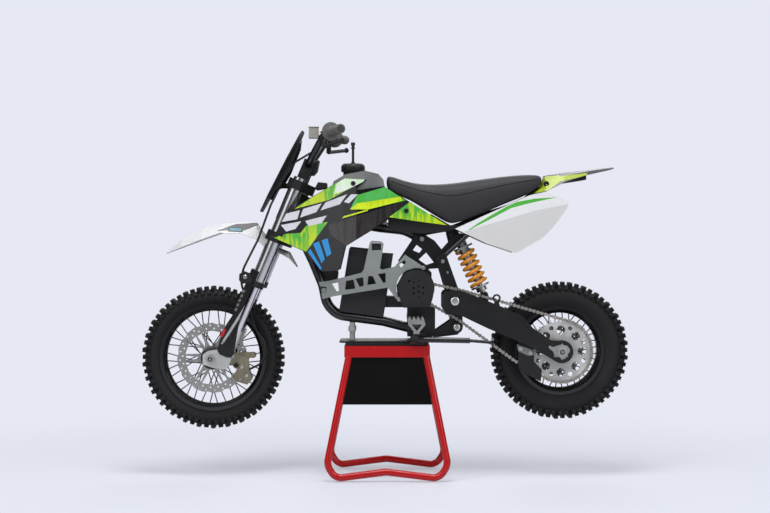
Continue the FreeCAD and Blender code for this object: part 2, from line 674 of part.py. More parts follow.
cover_holes = []
for col, (dx, rows) in enumerate(((-22, 1), (-8, 3), (8, 4), (22, 3))):
    for r in range(rows):
        cover_holes.append((MX + dx, MZ + 22 - 17 * r - 4 * (col % 2), 3.2))
cover_pts = [polar(57, a, MX, MZ) for a in range(-20, 201, 10)] + [(MX + dx, MZ + dz) for dx, dz in ((-51, -33), (-41, -59),
                                                                                       (43, -59), (51, -33))]
cover_plate = side_plate("cover_plate", cover_pts, "-95 mm", "8 mm", (), cover_holes)
skirt = side_plate("cover_skirt", [polar(57, a, MX, MZ) for a in range(110, 231, 10)] +
                   [polar(47, a, MX, MZ) for a in range(230, 109, -10)], "-71 mm", "40 mm")
cover = node(fused("cover_raw", [cover_plate, skirt]), "motor_cover")

# Cut plate beside the motor: truss windows and an arc clear of the cover
windows = (((-41, 733), (-12, 733), (-12, 711), (-41, 710)),
           ((44, 664), (60, 680), (66, 673), (50, 656)),
           ((-165, 606), (-146, 610), (-143, 584), (-150, 582)),
           ((-121, 615), (-98, 619), (-92, 591), (-124, 587)),
           ((-92, 622), (-68, 626), (-66, 600), (-79, 596)),
           ((-52, 630), (-38, 630), (-27, 606), (-55, 602)),
           ((-22, 636), (2, 640), (2, 611), (-5, 608)))
outline = ((-206, 611), (-174, 615), (-74, 640), (-66, 650), (-48, 732), (-42, 740), (-12, 738), (-4, 730),
           (-16, 654), (-9, 650), (30, 659), (62, 697), (118, 660), (124, 646), (110, 640), (60, 545),
           (40, 552), (8, 594), (-159, 567), (-195, 558), (-198, 577), (-183, 578), (-182, 596), (-202, 598))
arc_clear = cross_rod("arc_clear", MX, MZ, -95, -75, 62)
cut_plate = carved("bracket_plate_cut", side_plate("bracket_plate", outline, "sizes.bracket_y",
                   "sizes.bracket_thick", windows), [arc_clear])
spacers = [cross_rod("spacer_front", -190, 585, -84, -48, 8), cross_rod("spacer_top", 119, 655, -84, -51, 7),
           cross_rod("spacer_low", 44, 557, -84, -51, 7)]
bolts = [cross_rod("bolt_top", 119, 655, -92, -84, 6), cross_rod("bolt_low", 44, 557, -92, -84, 6)]
node(carved("bracket_cut", fused("bracket_raw", [cut_plate] + spacers + bolts), [frame_raw, motor, cover]),
     "motor_bracket")
controller = box("controller_case", -4, 58, -42, 42, 531, 566)
node(carved("controller_cut", controller, [battery, motor, frame_raw]), "controller_box")

# Flat steel plate under the cradle with its posts, pegs and side stand
skid_holes = [(x, y, 4.2) for x in (-120, -60, 0) for y in (-62, 62)]
skid = plan_plate("skid_sheet", ((-142, -76), (-130, -88), (60, -88), (84, -112), (134, -112), (134, 112),
                  (84, 112), (60, 88), (-130, 88), (-142, 76)), "sizes.skid_z", "sizes.skid_thick", skid_holes)
posts = []
for side, s in SIDES:
    posts.append(rod("post_" + side, (-103, s * cy, 426), (-103, s * cy, 492), 8))
    posts.append(rod("post_collar_" + side, (-103, s * cy, 456), (-103, s * cy, 470), 12))
    y0, y1 = sorted((s * 96, s * 120))
    posts.append(box("peg_block_" + side, 86, 124, y0, y1, 426, 456))
mount_block = box("mount_block", 88, 148, -50, 50, 426, 440)
frame_node = node(carved("frame_cut", frame_raw, [mount_block]), "main_frame")
skid_all = fused("skid_raw", [skid, mount_block] + posts)
skid_node = node(carved("skid_cut", skid_all, [frame_node]), "skid_plate")

pegs = []
for side, s in SIDES:
    teeth_top = []
    for k in range(4):
        teeth_top += [(70 + 13 * k, 498), (73 + 13 * k, 507), (78 + 13 * k, 507), (81 + 13 * k, 498)]
    peg_outline = tuple(teeth_top) + ((123, 484), (101, 456), (93, 456), (71, 484))
    peg_mid = s * (g("peg_y") + g("peg_long") / 2)
    tread = side_plate("peg_tread_" + side, peg_outline, "%.1f mm" % peg_mid, "sizes.peg_long",
                       (((81, 485), (97, 465), (113, 485)),))
    y0, y1 = sorted((s * 112, s * 134))
    root = box("peg_root_" + side, 88, 106, y0, y1, 452, 484)
    pegs.append(carved("peg_" + side, fused("peg_raw_" + side, [tread, root]), [skid_node]))
node(grouped("peg_set", pegs), "foot_pegs")

KX, KY, KZ = g("kick_x"), g("kick_y"), g("kick_z")
kick_lean = math.radians(20)


# Point beside the leaning side stand pivot: along the bike, then along the pivot, then square to it
def kick(dx, along, up=0):
    c, s = math.cos(kick_lean), math.sin(kick_lean)
    return V(KX + dx, KY + along * c + up * s, KZ - along * s + up * c)


kick_lug = fused("kick_lug_raw", [box("kick_tab", KX - 14, KX + 30, KY + 11, KY + 14, KZ - 16, KZ + 14),
                                  rod("kick_boss", kick(0, 3.6), kick(0, 13), 8),
                                  rod("kick_pin_long", kick(0, -12), kick(0, 13), 5),
                                  rod("kick_pin_head", kick(0, -13), kick(0, -9.6), 8)])
node(carved("kick_lug_cut", kick_lug, [skid_node]), "side_stand_lug")
stand_arm = fused("kick_raw", [rod("kick_hub", kick(0, -9), kick(0, 3), 13),
                               rod("kick_tube", kick(9, -3), kick(170, -3, -3), 8.5),
                               rod("kick_rod", kick(166, -3, -3), kick(238, -3, -9), 5),
                               rod("kick_foot", kick(236, -3, -9), kick(242, -3, -9), 15)])
node(carved("kick_cut", stand_arm, [rod("kick_bore", kick(0, -30), kick(0, 30), 5.15)]), "side_stand")

# Swingarm: two deep arms, cross tube and pivot bolt
arms = []
arm_top = [(186, 582), (234, 586), (343, 541), (423, 508), (440, 492), (458, 470), (516, 431)]
arm_end = [(RX + 36 * math.cos(math.radians(a)), RZ + 36 * math.sin(math.radians(a)))
           for a in range(110, -131, -20)]
arm_low = [(492, 388), (433, 420), (320, 467), (234, 508), (190, 512), (180, 530), (180, 572)]
arm_recess = [(262, 566), (343, 533), (420, 499), (446, 463), (508, 414), (496, 397), (436, 429), (322, 476),
              (262, 505)]
for side, s in SIDES:
    mid = s * (g("arm_in") + g("arm_out")) / 2
    whole = side_plate("arm_" + side, arm_top + arm_end + arm_low, "%.1f mm" % mid, "26 mm", (),
                       ((RX, RZ, g("axle_r")),))
    hollow = side_plate("arm_hollow_" + side, arm_recess, "%.1f mm" % (s * g("arm_out")), "5 mm")
    arms.append(carved("arm_cut_" + side, whole, [hollow]))
    y0, y1 = sorted((s * 50, s * 74))
    arms.append(cross_rod("arm_boss_" + side, PX, PZ, y0, y1, 18))
arms.append(cross_rod("arm_cross", 296, 515, -74, 74, 13))
for i, y in enumerate((-24, 24)):
    arms.append(side_plate("shock_tab_%d" % i, ((280, 510), (308, 505), (328, 560), (322, 578), (304, 578)),
                           "%d mm" % y, "6 mm"))
arms.append(cross_rod("pivot_bolt", PX, PZ, -104, 104, "sizes.pivot_r"))
swing = node(carved("swing_cut", fused("swing_raw", arms), [frame_node]), "swingarm")
axle_parts = [cross_rod("rear_pin", RX, RZ, -116, 116, "sizes.axle_r"),
              cross_rod("rear_nut_l", RX, RZ, -110, -98, 14), cross_rod("rear_nut_r", RX, RZ, 98, 110, 14),
              cross_rod("rear_collar_l", RX, RZ, -72, -60.5, 12), cross_rod("rear_collar_r", RX, RZ, 54, 72, 12)]
node(carved("rear_axle_bored", fused("rear_axle_raw", axle_parts),
            [cross_rod("rear_bore", RX, RZ, -130, 130, "sizes.axle_bore_r")]), "rear_axle")
tugs = []
for side, s in SIDES:
    y0, y1 = sorted((s * 98, s * 103))
    plate = carved("tug_plate_" + side, box("tug_" + side, RX - 24, RX + 18, y0, y1, RZ - 16, RZ + 16),
                   [cross_rod("tug_hole_" + side, RX, RZ, y0 - 5, y1 + 5, 14)])
    tugs.append(plate)
node(grouped("tug_set", tugs), "chain_adjusters")
rear_cal = carved("rear_cal_halves", box("rear_cal_block", 452, 494, 45, 72, 398, 446),
                  [cross_rod("rear_cal_slot", RX, RZ, 52, 58, 89)])
node(rear_cal, "rear_caliper")

# Chain guide plate and roller
guide = side_plate("guide_plate", ((414, 446), (464, 446), (465, 362), (489, 338), (486, 300), (436, 326),
                   (416, 352)), "-70.5 mm", "3 mm")
node(guide, "chain_guide")
roller = fused("roller_raw", [cross_rod("roller_wheel", 225, 469, -70, -55, 17.5),
                              cross_rod("roller_bolt", 225, 469, -76, -54, 6)])
node(carved("roller_cut", roller, [frame_node]), "chain_roller")

# Shock absorber between the frame and the swingarm
top, low = V(234, 0, 748), V(314, 0, 567)
axis = (low - top).normalize()
shock = fused("shock_raw", [
    cross_rod("shock_eye_top", 234, 748, -21, 21, 11),
    rod("shock_body", top + axis * 4, top + axis * 92, 16),
    rod("shock_perch", top + axis * 29, top + axis * 35, 31),
    rod("shock_shaft", top + axis * 60, top + axis * 191, 9),
    rod("shock_seat", top + axis * 163, top + axis * 168, 30),
    rod("shock_foot", top + axis * 168, top + axis * 182, 17),
    cross_rod("shock_eye_low", 314, 567, -21, 21, 11)])
turns, wire_r = g("coil_turns"), g("coil_wire_r")
coil_from, coil_to = 35 + wire_r, 163 - wire_r
helix = Part.makeHelix((coil_to - coil_from) / turns, coil_to - coil_from, g("coil_r"))
section = Part.Wire(Part.Circle(V(g("coil_r"), 0, 0), V(0, 1, 0), wire_r).toShape())
coil = doc.addObject("Part::Feature", "coil")
coil.Shape = Part.Wire(helix).makePipeShell([section], True, True)
coil.Placement = FreeCAD.Placement(top + axis * coil_from, FreeCAD.Rotation(V(0, 0, 1), axis))
node(coil, "shock_spring")
shock_cut = carved("shock_cut", shock, [swing])
node(shock_cut, "shock_absorber")

# Rear fender
tail = node(channel("tail_skin", ((445, 882, 80, 14), (492, 914, 84, 24), (502, 944, 84, 50), (560, 953, 78, 30),
                                  (640, 963, 60, 14), (718, 972, 38, 6))), "rear_fender")

# Subframe, shock mount and seat supports
sub_parts = []
for side, s in SIDES:
    sub_parts.append(tube("rail_" + side, [(96, s * 8, 760), (160, s * 42, 772), (217, s * 45, 781),
                                           (317, s * 45, 822), (450, s * 45, 864), (500, s * 45, 876)],
                          "tail_r", 60))
    sub_parts.append(tube("stay_" + side, [(176, s * 42, 684), (250, s * 44, 750), (336, s * 45, 828)],
                          "stay_r", 60))
    sub_parts.append(rod("fender_pin_" + side, (470, s * 44, 866), (470, s * 44, 887.3), 5))
    sub_parts.append(rod("panel_pin_a_" + side, (284, s * 41, 807), (284, s * 98, 801), 5))
    sub_parts.append(rod("panel_pin_b_" + side, (456, s * 41, 864), (456, s * 109, 856), 5))
    y0, y1 = sorted((s * 21, s * 27))
    sub_parts.append(side_plate("shock_mount_" + side, ((168, 700), (182, 676), (240, 736), (246, 752),
                                (232, 762), (214, 752)), "%d mm" % (s * 24), "6 mm"))
sub_parts.append(cross_rod("sub_cross_a", 312, 819, -43, 43, 7))
sub_parts.append(cross_rod("sub_cross_b", 486, 872, -44, 44, 7))
sub_raw = fused("sub_raw", sub_parts)


# Thin panels: a side outline cut from a band that bends in plan
def bent_panel(name, outline, plan, s, t):
    block = side_plate(name + "_outline", outline, "%d mm" % (s * 120), "160 mm")
    outer = [(x, s * (y + t / 2)) for x, y in plan]
    inner = [(x, s * (y - t / 2)) for x, y in plan]
    body = doc.addObject("PartDesign::Body", name + "_band")
    sk = new_sketch(body, "XY_Plane")
    ring(sk, outer + inner[::-1])
    pad = body.newObject("PartDesign::Pad", name + "_band_pad")
    pad.Profile = sk
    pad.Length = 700
    body.Placement.Base = V(0, 0, 500)
    return common(name + "_raw", block, body)


T = g("panel_thick")
shroud_outline = ((-344, 749), (-300, 830), (-229, 873), (-150, 920), (-125, 933), (-58, 930), (-92, 897),
                  (-3, 909), (65, 868), (193, 788), (14, 812), (-2, 797), (-60, 762), (-124, 723),
                  (-142, 648), (-196, 645), (-245, 705))
shroud_plan = ((-400, 163), (-344, 152), (-240, 130), (-180, 114), (-130, 97), (-90, 87.5), (0, 87.5),
               (240, 90.5))
panel_outline = ((217, 777), (317, 822), (449, 881), (506, 893), (573, 857), (544, 807), (483, 741),
                 (407, 701), (317, 731))
panel_plan = ((180, 92), (317, 103), (450, 110), (600, 100))
tank_core = side_plate("tank_core", ((-186, 838), (-160, 925), (-124, 946), (-63, 958), (-21, 948), (-5, 930),
                       (0, 905), (6, 790), (-120, 806)), "0 mm", "170 mm")
front_relief = steer_rod("tank_relief", (0, 0, 180), (0, 0, 420), 62)
tank = node(carved("tank_cut", tank_core, [frame_node, front_relief]), "tank")
shrouds, covers = {}, {}
for side, s in SIDES:
    raw = bent_panel("shroud_" + side, shroud_outline, shroud_plan, s, T)
    y0, y1 = sorted((s * 12, s * 135))
    foot = rod("shroud_foot_" + side, (-190, s * 36, 690), (-190, s * 118, 690), 7)
    shrouds[side] = node(carved("shroud_cut_" + side, fused("shroud_all_" + side, [raw, foot]),
                                [tank, frame_node]), "shroud_" + side)
    covers[side] = node(bent_panel("side_cover_" + side, panel_outline, panel_plan, s, T), "side_panel_" + side)
cap = fused("cap_raw", [rod("cap_disc", (-101, 0, 944), (-101, 0, 984), 38),
                        rod("cap_hose", (-101, 0, 980), (-101, 0, 1043), 4),
                        rod("cap_tip", (-101, 0, 1030), (-101, 0, 1043), 7)])
node(carved("cap_cut", cap, [tank]), "tank_cap")
sub_node = node(carved("sub_cut", sub_raw, [frame_node, shock_cut, covers["left"], covers["right"]]),
                "subframe")

# Seat base: black skirts under the seat's nose, tied by a web that rests on the spine
skirts = []
for side, s in SIDES:
    skirts.append(side_plate("base_skirt_" + side, ((10, 770), (10, 812), (100, 824), (146, 822), (204, 788),
                             (236, 788), (236, 779), (200, 772), (150, 766), (120, 762)), "%d mm" % (s * 62), "4 mm"))
skirts.append(box("base_web", 24, 64, -61, 61, 787, 801))
node(carved("base_cut", fused("base_raw", skirts), [frame_node, sub_node, tank]), "seat_base")


# Seat: padded body, plain here
def seat_section(z0, z1, w):
    return ((-w, z0), (-w * 0.96, z0 + (z1 - z0) * 0.6), (-w * 0.7, z1 - 3), (0, z1), (w * 0.7, z1 - 3),
            (w * 0.96, z0 + (z1 - z0) * 0.6), (w, z0), (0, z0 + 1))


seat_body = across_loft("seat_form", ((3, seat_section(903, 944, 56)), (81, seat_section(870, 922, 66)),
                                      (144, seat_section(831, 919, 78)), (206, seat_section(790, 921, 84)),
                                      (318, seat_section(829, 936, 84)), (451, seat_section(884, 949, 78)),
                                      (490, seat_section(916, 944, 62))))
node(carved("seat_cut", seat_body, [sub_node, tail, tank]), "seat")

# Paddock stand: two splayed side loops, tray, mat and blank panels
loops = []
ft, tt, tr = g("stand_foot_y"), g("stand_top_y"), g("stand_tube_r")
for side, s in SIDES:
    loops.append(tube("loop_" + side, [(-110, s * tt, 392), (-178, s * ft, 52), (-152, s * ft, tr), (4, s * ft, tr + 20),
                                       (166, s * ft, tr), (193, s * ft, 52), (126, s * tt, 392)],
                      "stand_tube_r", 42))
cross_bars = [cross_rod("stand_bar_front", -139, 247, -137, 137, 9),
              cross_rod("stand_bar_rear", 154, 247, -137, 137, 9)]
tray = box("tray_block", g("tray_x0"), g("tray_x1"), -g("tray_half"), g("tray_half"), g("tray_z0"), g("tray_z1"))
tray_hollow = box("tray_hollow", g("tray_x0") + 4, g("tray_x1") - 4, -g("tray_half") + 4, g("tray_half") - 4,
                  g("tray_z0") - 10, g("tray_z1") - 4)
tray_shell = carved("tray_shell", tray, [tray_hollow])
loop_set = fused("loop_set", loops + cross_bars)
stand_node = node(fused("stand_raw", [loop_set, tray_shell]), "paddock_stand")
mat = box("mat_sheet", g("tray_x0") + 6, g("tray_x1") - 6, -g("tray_half") + 4, g("tray_half") - 4,
          g("tray_z1"), g("skid_z"))
node(mat, "stand_mat")
boards = []
slope = math.degrees(math.atan2(ft - tt, 340))
for side, s in SIDES:
    body = doc.addObject("PartDesign::Body", "board_" + side)
    sk = new_sketch(body, "XZ_Plane")
    ring(sk, ((-108, 0), (122, 0), (145, -148), (-132, -148)))
    pad = body.newObject("PartDesign::Pad", "board_pad_" + side)
    pad.Profile = sk
    pad.Midplane = True
    pad.Length = 3
    body.Placement = FreeCAD.Placement(V(0, s * (tt + 2.5), 380), FreeCAD.Rotation(V(1, 0, 0), s * slope))
    boards.append(carved("board_cut_" + side, body, [stand_node]))
node(grouped("board_set", boards), "stand_panels")

doc.recompute()
bad = []
for obj in doc.Objects:
    state = [x for x in obj.State if x in ("Invalid", "Error")]
    if state:
        bad.append((obj.Name, obj.State))
if bad:
    raise RuntimeError("objects with errors: %s" % bad[:8])
for obj in NODES:
    shape = obj.Shape
    if shape.isNull() or not shape.isValid() or not shape.Solids:
        raise RuntimeError("bad shape: " + obj.Label)
    box_now = shape.BoundBox
    print("%-18s solids %2d  vol %9.0f  x %6.0f %6.0f  y %5.0f %5.0f  z %5.0f %5.0f" % (
        obj.Label, len(shape.Solids), shape.Volume, box_now.XMin, box_now.XMax, box_now.YMin, box_now.YMax,
        box_now.ZMin, box_now.ZMax))
    shape.exportStep("parts/%s.step" % obj.Label)
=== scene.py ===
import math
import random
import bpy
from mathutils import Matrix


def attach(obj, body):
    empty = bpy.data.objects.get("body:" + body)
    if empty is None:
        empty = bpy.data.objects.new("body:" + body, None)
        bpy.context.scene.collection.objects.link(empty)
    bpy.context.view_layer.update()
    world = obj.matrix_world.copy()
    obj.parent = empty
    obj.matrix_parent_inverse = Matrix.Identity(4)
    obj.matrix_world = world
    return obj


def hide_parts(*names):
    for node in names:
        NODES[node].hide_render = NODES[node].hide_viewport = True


bl_info = {
    "name": "Electric dirt bike looks",
    "version": (1, 0, 0),
    "blender": (4, 5, 0),
    "location": "View3D > Sidebar > Dirt bike",
    "description": "Tread, chain, seat, graphics, small fittings and finishes for the dirt bike",
    "category": "Object",
}

import bmesh
import bpy
from mathutils import Vector

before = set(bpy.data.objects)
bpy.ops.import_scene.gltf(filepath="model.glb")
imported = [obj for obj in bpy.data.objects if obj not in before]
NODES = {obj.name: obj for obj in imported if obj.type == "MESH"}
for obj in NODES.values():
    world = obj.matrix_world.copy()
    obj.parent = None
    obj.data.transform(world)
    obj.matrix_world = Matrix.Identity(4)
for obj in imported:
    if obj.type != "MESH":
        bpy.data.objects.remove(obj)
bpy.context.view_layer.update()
MM = 0.001
AXLES = {"front": Vector((-0.541, 0, 0.373)), "rear": Vector((0.549, 0, 0.395))}
SIDES = (("left", -1), ("right", 1))
LEFT = Vector((0, -1, 0))


# Sizes and colours

class BikeSizes(bpy.types.PropertyGroup):
    """Sizes of the dressing"""

    front_tread_r: bpy.props.FloatProperty(name="Front tread radius", description="Over the knobs",
                                           default=0.2245, unit="LENGTH")
    rear_tread_r: bpy.props.FloatProperty(name="Rear tread radius", description="Over the knobs",
                                          default=0.2165, unit="LENGTH")
    knob_height: bpy.props.FloatProperty(name="Knob height", description="Tread knobs", default=0.0125,
                                         unit="LENGTH")
    chain_pitch: bpy.props.FloatProperty(name="Chain pitch", description="Pin to pin", default=0.0127,
                                         unit="LENGTH")


class BikeColours(bpy.types.PropertyGroup):
    """Colours of the dressing"""

    green: bpy.props.FloatVectorProperty(name="Green", description="Graphics", subtype="COLOR", size=3,
                                         default=(0.075, 0.42, 0.045))
    lime: bpy.props.FloatVectorProperty(name="Lime", description="Graphics", subtype="COLOR", size=3,
                                        default=(0.50, 0.64, 0.012))
    blue: bpy.props.FloatVectorProperty(name="Blue", description="Graphics", subtype="COLOR", size=3,
                                        default=(0.008, 0.25, 0.60))
    white: bpy.props.FloatVectorProperty(name="White", description="Panels", subtype="COLOR", size=3,
                                         default=(0.74, 0.745, 0.75))
    amber: bpy.props.FloatVectorProperty(name="Amber", description="Shock spring", subtype="COLOR", size=3,
                                         default=(0.78, 0.29, 0.010))
    red: bpy.props.FloatVectorProperty(name="Red", description="Paddock stand", subtype="COLOR", size=3,
                                       default=(0.42, 0.0008, 0.0015))
    backdrop: bpy.props.FloatVectorProperty(name="Backdrop", description="Floor and backdrop",
                                            subtype="COLOR", size=3, default=(0.79, 0.81, 0.895))


def sizes():
    return bpy.context.scene.bike_sizes


def colours():
    return bpy.context.scene.bike_colours


# Shader helpers

def feed(tree, socket, value):
    """Sets a socket to a value, or links it from another socket"""
    if isinstance(value, bpy.types.NodeSocket):
        tree.links.new(value, socket)
    else:
        socket.default_value = value


def add(tree, kind, **inputs):
    """A new node with its sockets fed. An underscore stands for a blank in a socket's name"""
    n = tree.nodes.new(kind)
    for key, value in inputs.items():
        feed(tree, n.inputs[key.replace("_", " ")], value)
    return n


def maths(tree, operation, *values, clamp=False):
    """The result of a maths node"""
    n = tree.nodes.new("ShaderNodeMath")
    n.operation = operation
    n.use_clamp = clamp
    for socket, value in zip(n.inputs, values):
        feed(tree, socket, value)
    return n.outputs[0]


def map_range(tree, value, limits, targets, kind="LINEAR", clamp=True):
    """A value mapped from its limits to its targets"""
    n = add(tree, "ShaderNodeMapRange", Value=value)
    n.interpolation_type = kind
    n.clamp = clamp
    for key, number in zip(("From Min", "From Max", "To Min", "To Max"), tuple(limits) + tuple(targets)):
        n.inputs[key].default_value = number
    return n.outputs["Result"]


def colour_ramp(tree, value, *stops):
    """A ramp between two stops, each a position and a colour"""
    n = add(tree, "ShaderNodeValToRGB", Fac=value)
    for element, (position, colour) in zip(n.color_ramp.elements, stops):
        element.position = position
        element.color = tuple(colour) + (1,)
    return n.outputs["Color"]


def blend(tree, factor, first, second):
    """Two colours mixed by a factor"""
    n = tree.nodes.new("ShaderNodeMix")
    n.data_type = "RGBA"
    for socket, value in ((n.inputs["Factor"], factor), (n.inputs[6], first), (n.inputs[7], second)):
        feed(tree, socket, value)
    return n.outputs[2]


def coordinates(tree, output="Object"):
    return tree.nodes.new("ShaderNodeTexCoord").outputs[output]


def components(tree, vector):
    return add(tree, "ShaderNodeSeparateXYZ", Vector=vector).outputs


# Finishes

FINISHES = {}
COAT_ROUGHNESS = 0.12
GRAIN_DEPTH = 0.0006
SCUFF_COLOUR = (0.35, 0.35, 0.36, 1)


def finish(name, colour, rough=0.45, metal=0.0, vary=0.08, grain=400.0, bump=0.05, coat=0.0, spec=0.5,
           wear=0.0, ridge=None):
    """A surface with colour and gloss variation, fine grain and scuffs"""
    mat = bpy.data.materials.new(name)
    mat.use_nodes = True
    tree = mat.node_tree
    shader = tree.nodes["Principled BSDF"]
    for key, value in (("Metallic", metal), ("Coat Weight", coat), ("Coat Roughness", COAT_ROUGHNESS),
                       ("Specular IOR Level", spec)):
        shader.inputs[key].default_value = value
    place = coordinates(tree)
    broad = add(tree, "ShaderNodeTexNoise", Vector=place, Scale=14.0, Detail=4.0).outputs["Fac"]
    fine = add(tree, "ShaderNodeTexNoise", Vector=place, Scale=grain, Detail=2.0).outputs["Fac"]
    gloss = map_range(tree, broad, (0, 1), (max(0.02, rough * 0.85), min(1, rough * 1.18)))
    feed(tree, shader.inputs["Roughness"], gloss)
    height = fine
    if ridge:
        axis, per_metre = ridge
        wave = add(tree, "ShaderNodeTexWave", Vector=place, Scale=per_metre)
        wave.bands_direction = axis
        height = maths(tree, "ADD", wave.outputs["Fac"], fine)
    relief = add(tree, "ShaderNodeBump", Strength=bump, Distance=GRAIN_DEPTH, Height=height)
    feed(tree, shader.inputs["Normal"], relief.outputs["Normal"])
    tone = colour_ramp(tree, broad, (0.3, [c * (1 - vary) for c in colour]),
                       (0.7, [min(1, c * (1 + vary)) for c in colour]))
    if wear:
        scuff = add(tree, "ShaderNodeTexNoise", Vector=place, Scale=55.0, Detail=9.0, Roughness=0.75)
        share = colour_ramp(tree, scuff.outputs["Fac"], (0.60, (0, 0, 0)), (0.72, (wear, wear, wear)))
        tone = blend(tree, share, tone, SCUFF_COLOUR)
    feed(tree, shader.inputs["Base Color"], tone)
    FINISHES[name] = mat


def edge_plane(a, b, centre):
    """The line through two corners as a normal that points to the centre, and an offset (mm)"""
    nx, nz = b[1] - a[1], a[0] - b[0]
    size = math.hypot(nx, nz)
    nx, nz = nx / size, nz / size
    off = -(nx * a[0] + nz * a[1])
    if nx * centre[0] + nz * centre[1] + off < 0:
        nx, nz, off = -nx, -nz, -off
    return nx, nz, off


def shape_mask(tree, place, corners):
    """1 inside a convex shape whose corners are in x and z (mm)"""
    centre = [sum(p[i] for p in corners) / len(corners) for i in (0, 1)]
    depth = None
    for i, a in enumerate(corners):
        nx, nz, off = edge_plane(a, corners[(i + 1) % len(corners)], centre)
        dot = tree.nodes.new("ShaderNodeVectorMath")
        dot.operation = "DOT_PRODUCT"
        feed(tree, dot.inputs[0], place)
        feed(tree, dot.inputs[1], (nx, 0, nz))
        inside = maths(tree, "ADD", dot.outputs["Value"], off * MM)
        depth = inside if depth is None else maths(tree, "MINIMUM", depth, inside)
    return maths(tree, "GREATER_THAN", depth, 0.0)


def paint_shapes(name, shapes, flanks=False):
    """Lays flat colour shapes over a finish, or over its flanks only. A shape is its corners in x and z (mm)
    and two colours: where they differ, the second comes in downwards, in upright bars"""
    tree = FINISHES[name].node_tree
    colour = tree.nodes["Principled BSDF"].inputs["Base Color"]
    base = colour.links[0].from_socket
    place = coordinates(tree)
    # irregular upright bars, and the height to fade them by
    tall = add(tree, "ShaderNodeMapping", Vector=place, Scale=(1.0, 1.0, 0.16))
    wave = add(tree, "ShaderNodeTexNoise", Vector=tall.outputs["Vector"], Scale=85.0, Detail=1.5,
               Roughness=0.6)
    bars = map_range(tree, wave.outputs["Fac"], (0.44, 0.56), (-0.45, 0.45))
    z = components(tree, place)["Z"]
    if flanks:
        normal = coordinates(tree, "Normal")
        flank = maths(tree, "GREATER_THAN", maths(tree, "ABSOLUTE", components(tree, normal)["Y"]), 0.6)
    for corners, first, second in shapes:
        mask = shape_mask(tree, place, corners)
        if flanks:
            mask = maths(tree, "MULTIPLY", mask, flank)
        tint = tuple(first) + (1,)
        if tuple(first) != tuple(second):
            span = (max(p[1] for p in corners) * MM, min(p[1] for p in corners) * MM)
            fade = map_range(tree, z, span, (0, 1), clamp=False)
            tint = blend(tree, maths(tree, "ADD", fade, bars, clamp=True), tint, tuple(second) + (1,))
        base = blend(tree, mask, base, tint)
    feed(tree, colour, base)


def make_finishes():
    c = colours()
    finish("tyre_rubber", (0.011, 0.011, 0.0115), 0.7, bump=0.35, grain=900, spec=0.25)
    finish("black_frame", (0.005, 0.005, 0.0055), 0.3, bump=0.06, coat=0.2, wear=0.08)
    finish("skid_paint", (0.006, 0.006, 0.0065), 0.4, bump=0.1, wear=0.1)
    finish("black_rim", (0.004, 0.004, 0.0042), 0.2, bump=0.02, coat=0.5)
    finish("black_cast", (0.0075, 0.0075, 0.008), 0.42, bump=0.3, grain=1500, wear=0.18, spec=0.4)
    finish("black_mould", (0.009, 0.009, 0.0095), 0.5, bump=0.25, grain=1800, spec=0.35)
    finish("dark_case", (0.009, 0.009, 0.0105), 0.55, bump=0.3, grain=1600, spec=0.4)
    finish("grey_mould", (0.16, 0.165, 0.165), 0.36, bump=0.10, grain=1400, vary=0.2)
    finish("bracket_paint", (0.20, 0.215, 0.207), 0.42, bump=0.06, grain=1500, wear=0.1)
    finish("steel_bare", (0.45, 0.45, 0.44), 0.34, 1.0, bump=0.12, ridge=("X", 300.0))
    finish("steel_disc", (0.42, 0.41, 0.39), 0.34, 1.0, bump=0.10, ridge=("Z", 500.0))
    finish("sprocket_steel", (0.52, 0.52, 0.50), 0.42, 0.75, vary=0.3, bump=0.1, grain=900)
    finish("chrome_tube", (0.66, 0.67, 0.69), 0.14, 1.0, vary=0.03, bump=0.01)
    finish("fork_alloy", (0.55, 0.55, 0.56), 0.2, 1.0, vary=0.05, bump=0.02)
    finish("alloy_cast", (0.40, 0.40, 0.39), 0.42, 1.0, bump=0.25, grain=900)
    finish("alloy_gold", (0.27, 0.245, 0.175), 0.45, 1.0, bump=0.2, grain=800, vary=0.2)
    finish("chain_steel", (0.36, 0.34, 0.31), 0.42, 0.8, bump=0.2, grain=1200)
    finish("chain_dark", (0.10, 0.095, 0.088), 0.45, 1.0, bump=0.2, grain=1200)
    finish("bolt_zinc", (0.62, 0.62, 0.60), 0.28, 1.0, bump=0.05)
    finish("spring_paint", tuple(c.amber), 0.25, coat=0.5, bump=0.03, vary=0.06)
    finish("stand_paint", tuple(c.red), 0.24, coat=0.3, spec=0.3, bump=0.03, vary=0.05, wear=0.08)
    finish("accent_red", (0.55, 0.012, 0.02), 0.4, coat=0.2)
    finish("lug_alloy", (0.62, 0.62, 0.60), 0.4, 0.75, vary=0.15, bump=0.2, grain=900)
    finish("sign_black", (0.004, 0.004, 0.0042), 0.16, coat=0.4, bump=0.02)
    finish("mat_rubber", (0.010, 0.010, 0.010), 0.8, bump=0.5, grain=500, spec=0.25)
    finish("grip_rubber", (0.10, 0.096, 0.09), 0.68, bump=0.3, grain=1200)
    finish("seat_cover", (0.0135, 0.0135, 0.0150), 0.58, bump=0.45, grain=1300, spec=0.35)
    finish("shroud_skin", (0.005, 0.005, 0.0055), 0.22, coat=0.25, bump=0.03)
    finish("panel_skin", tuple(c.white), 0.3, coat=0.2, bump=0.03, vary=0.012)
    finish("tail_skin", (0.05, 0.054, 0.05), 0.4, coat=0.1, bump=0.08, vary=0.2)
    finish("fender_skin", (0.62, 0.625, 0.63), 0.42, coat=0.1, bump=0.0, vary=0.012)
    finish("guard_skin", (0.006, 0.006, 0.0065), 0.24, coat=0.3, bump=0.04)
    finish("control_beige", (0.26, 0.25, 0.22), 0.5, bump=0.15, grain=1200)


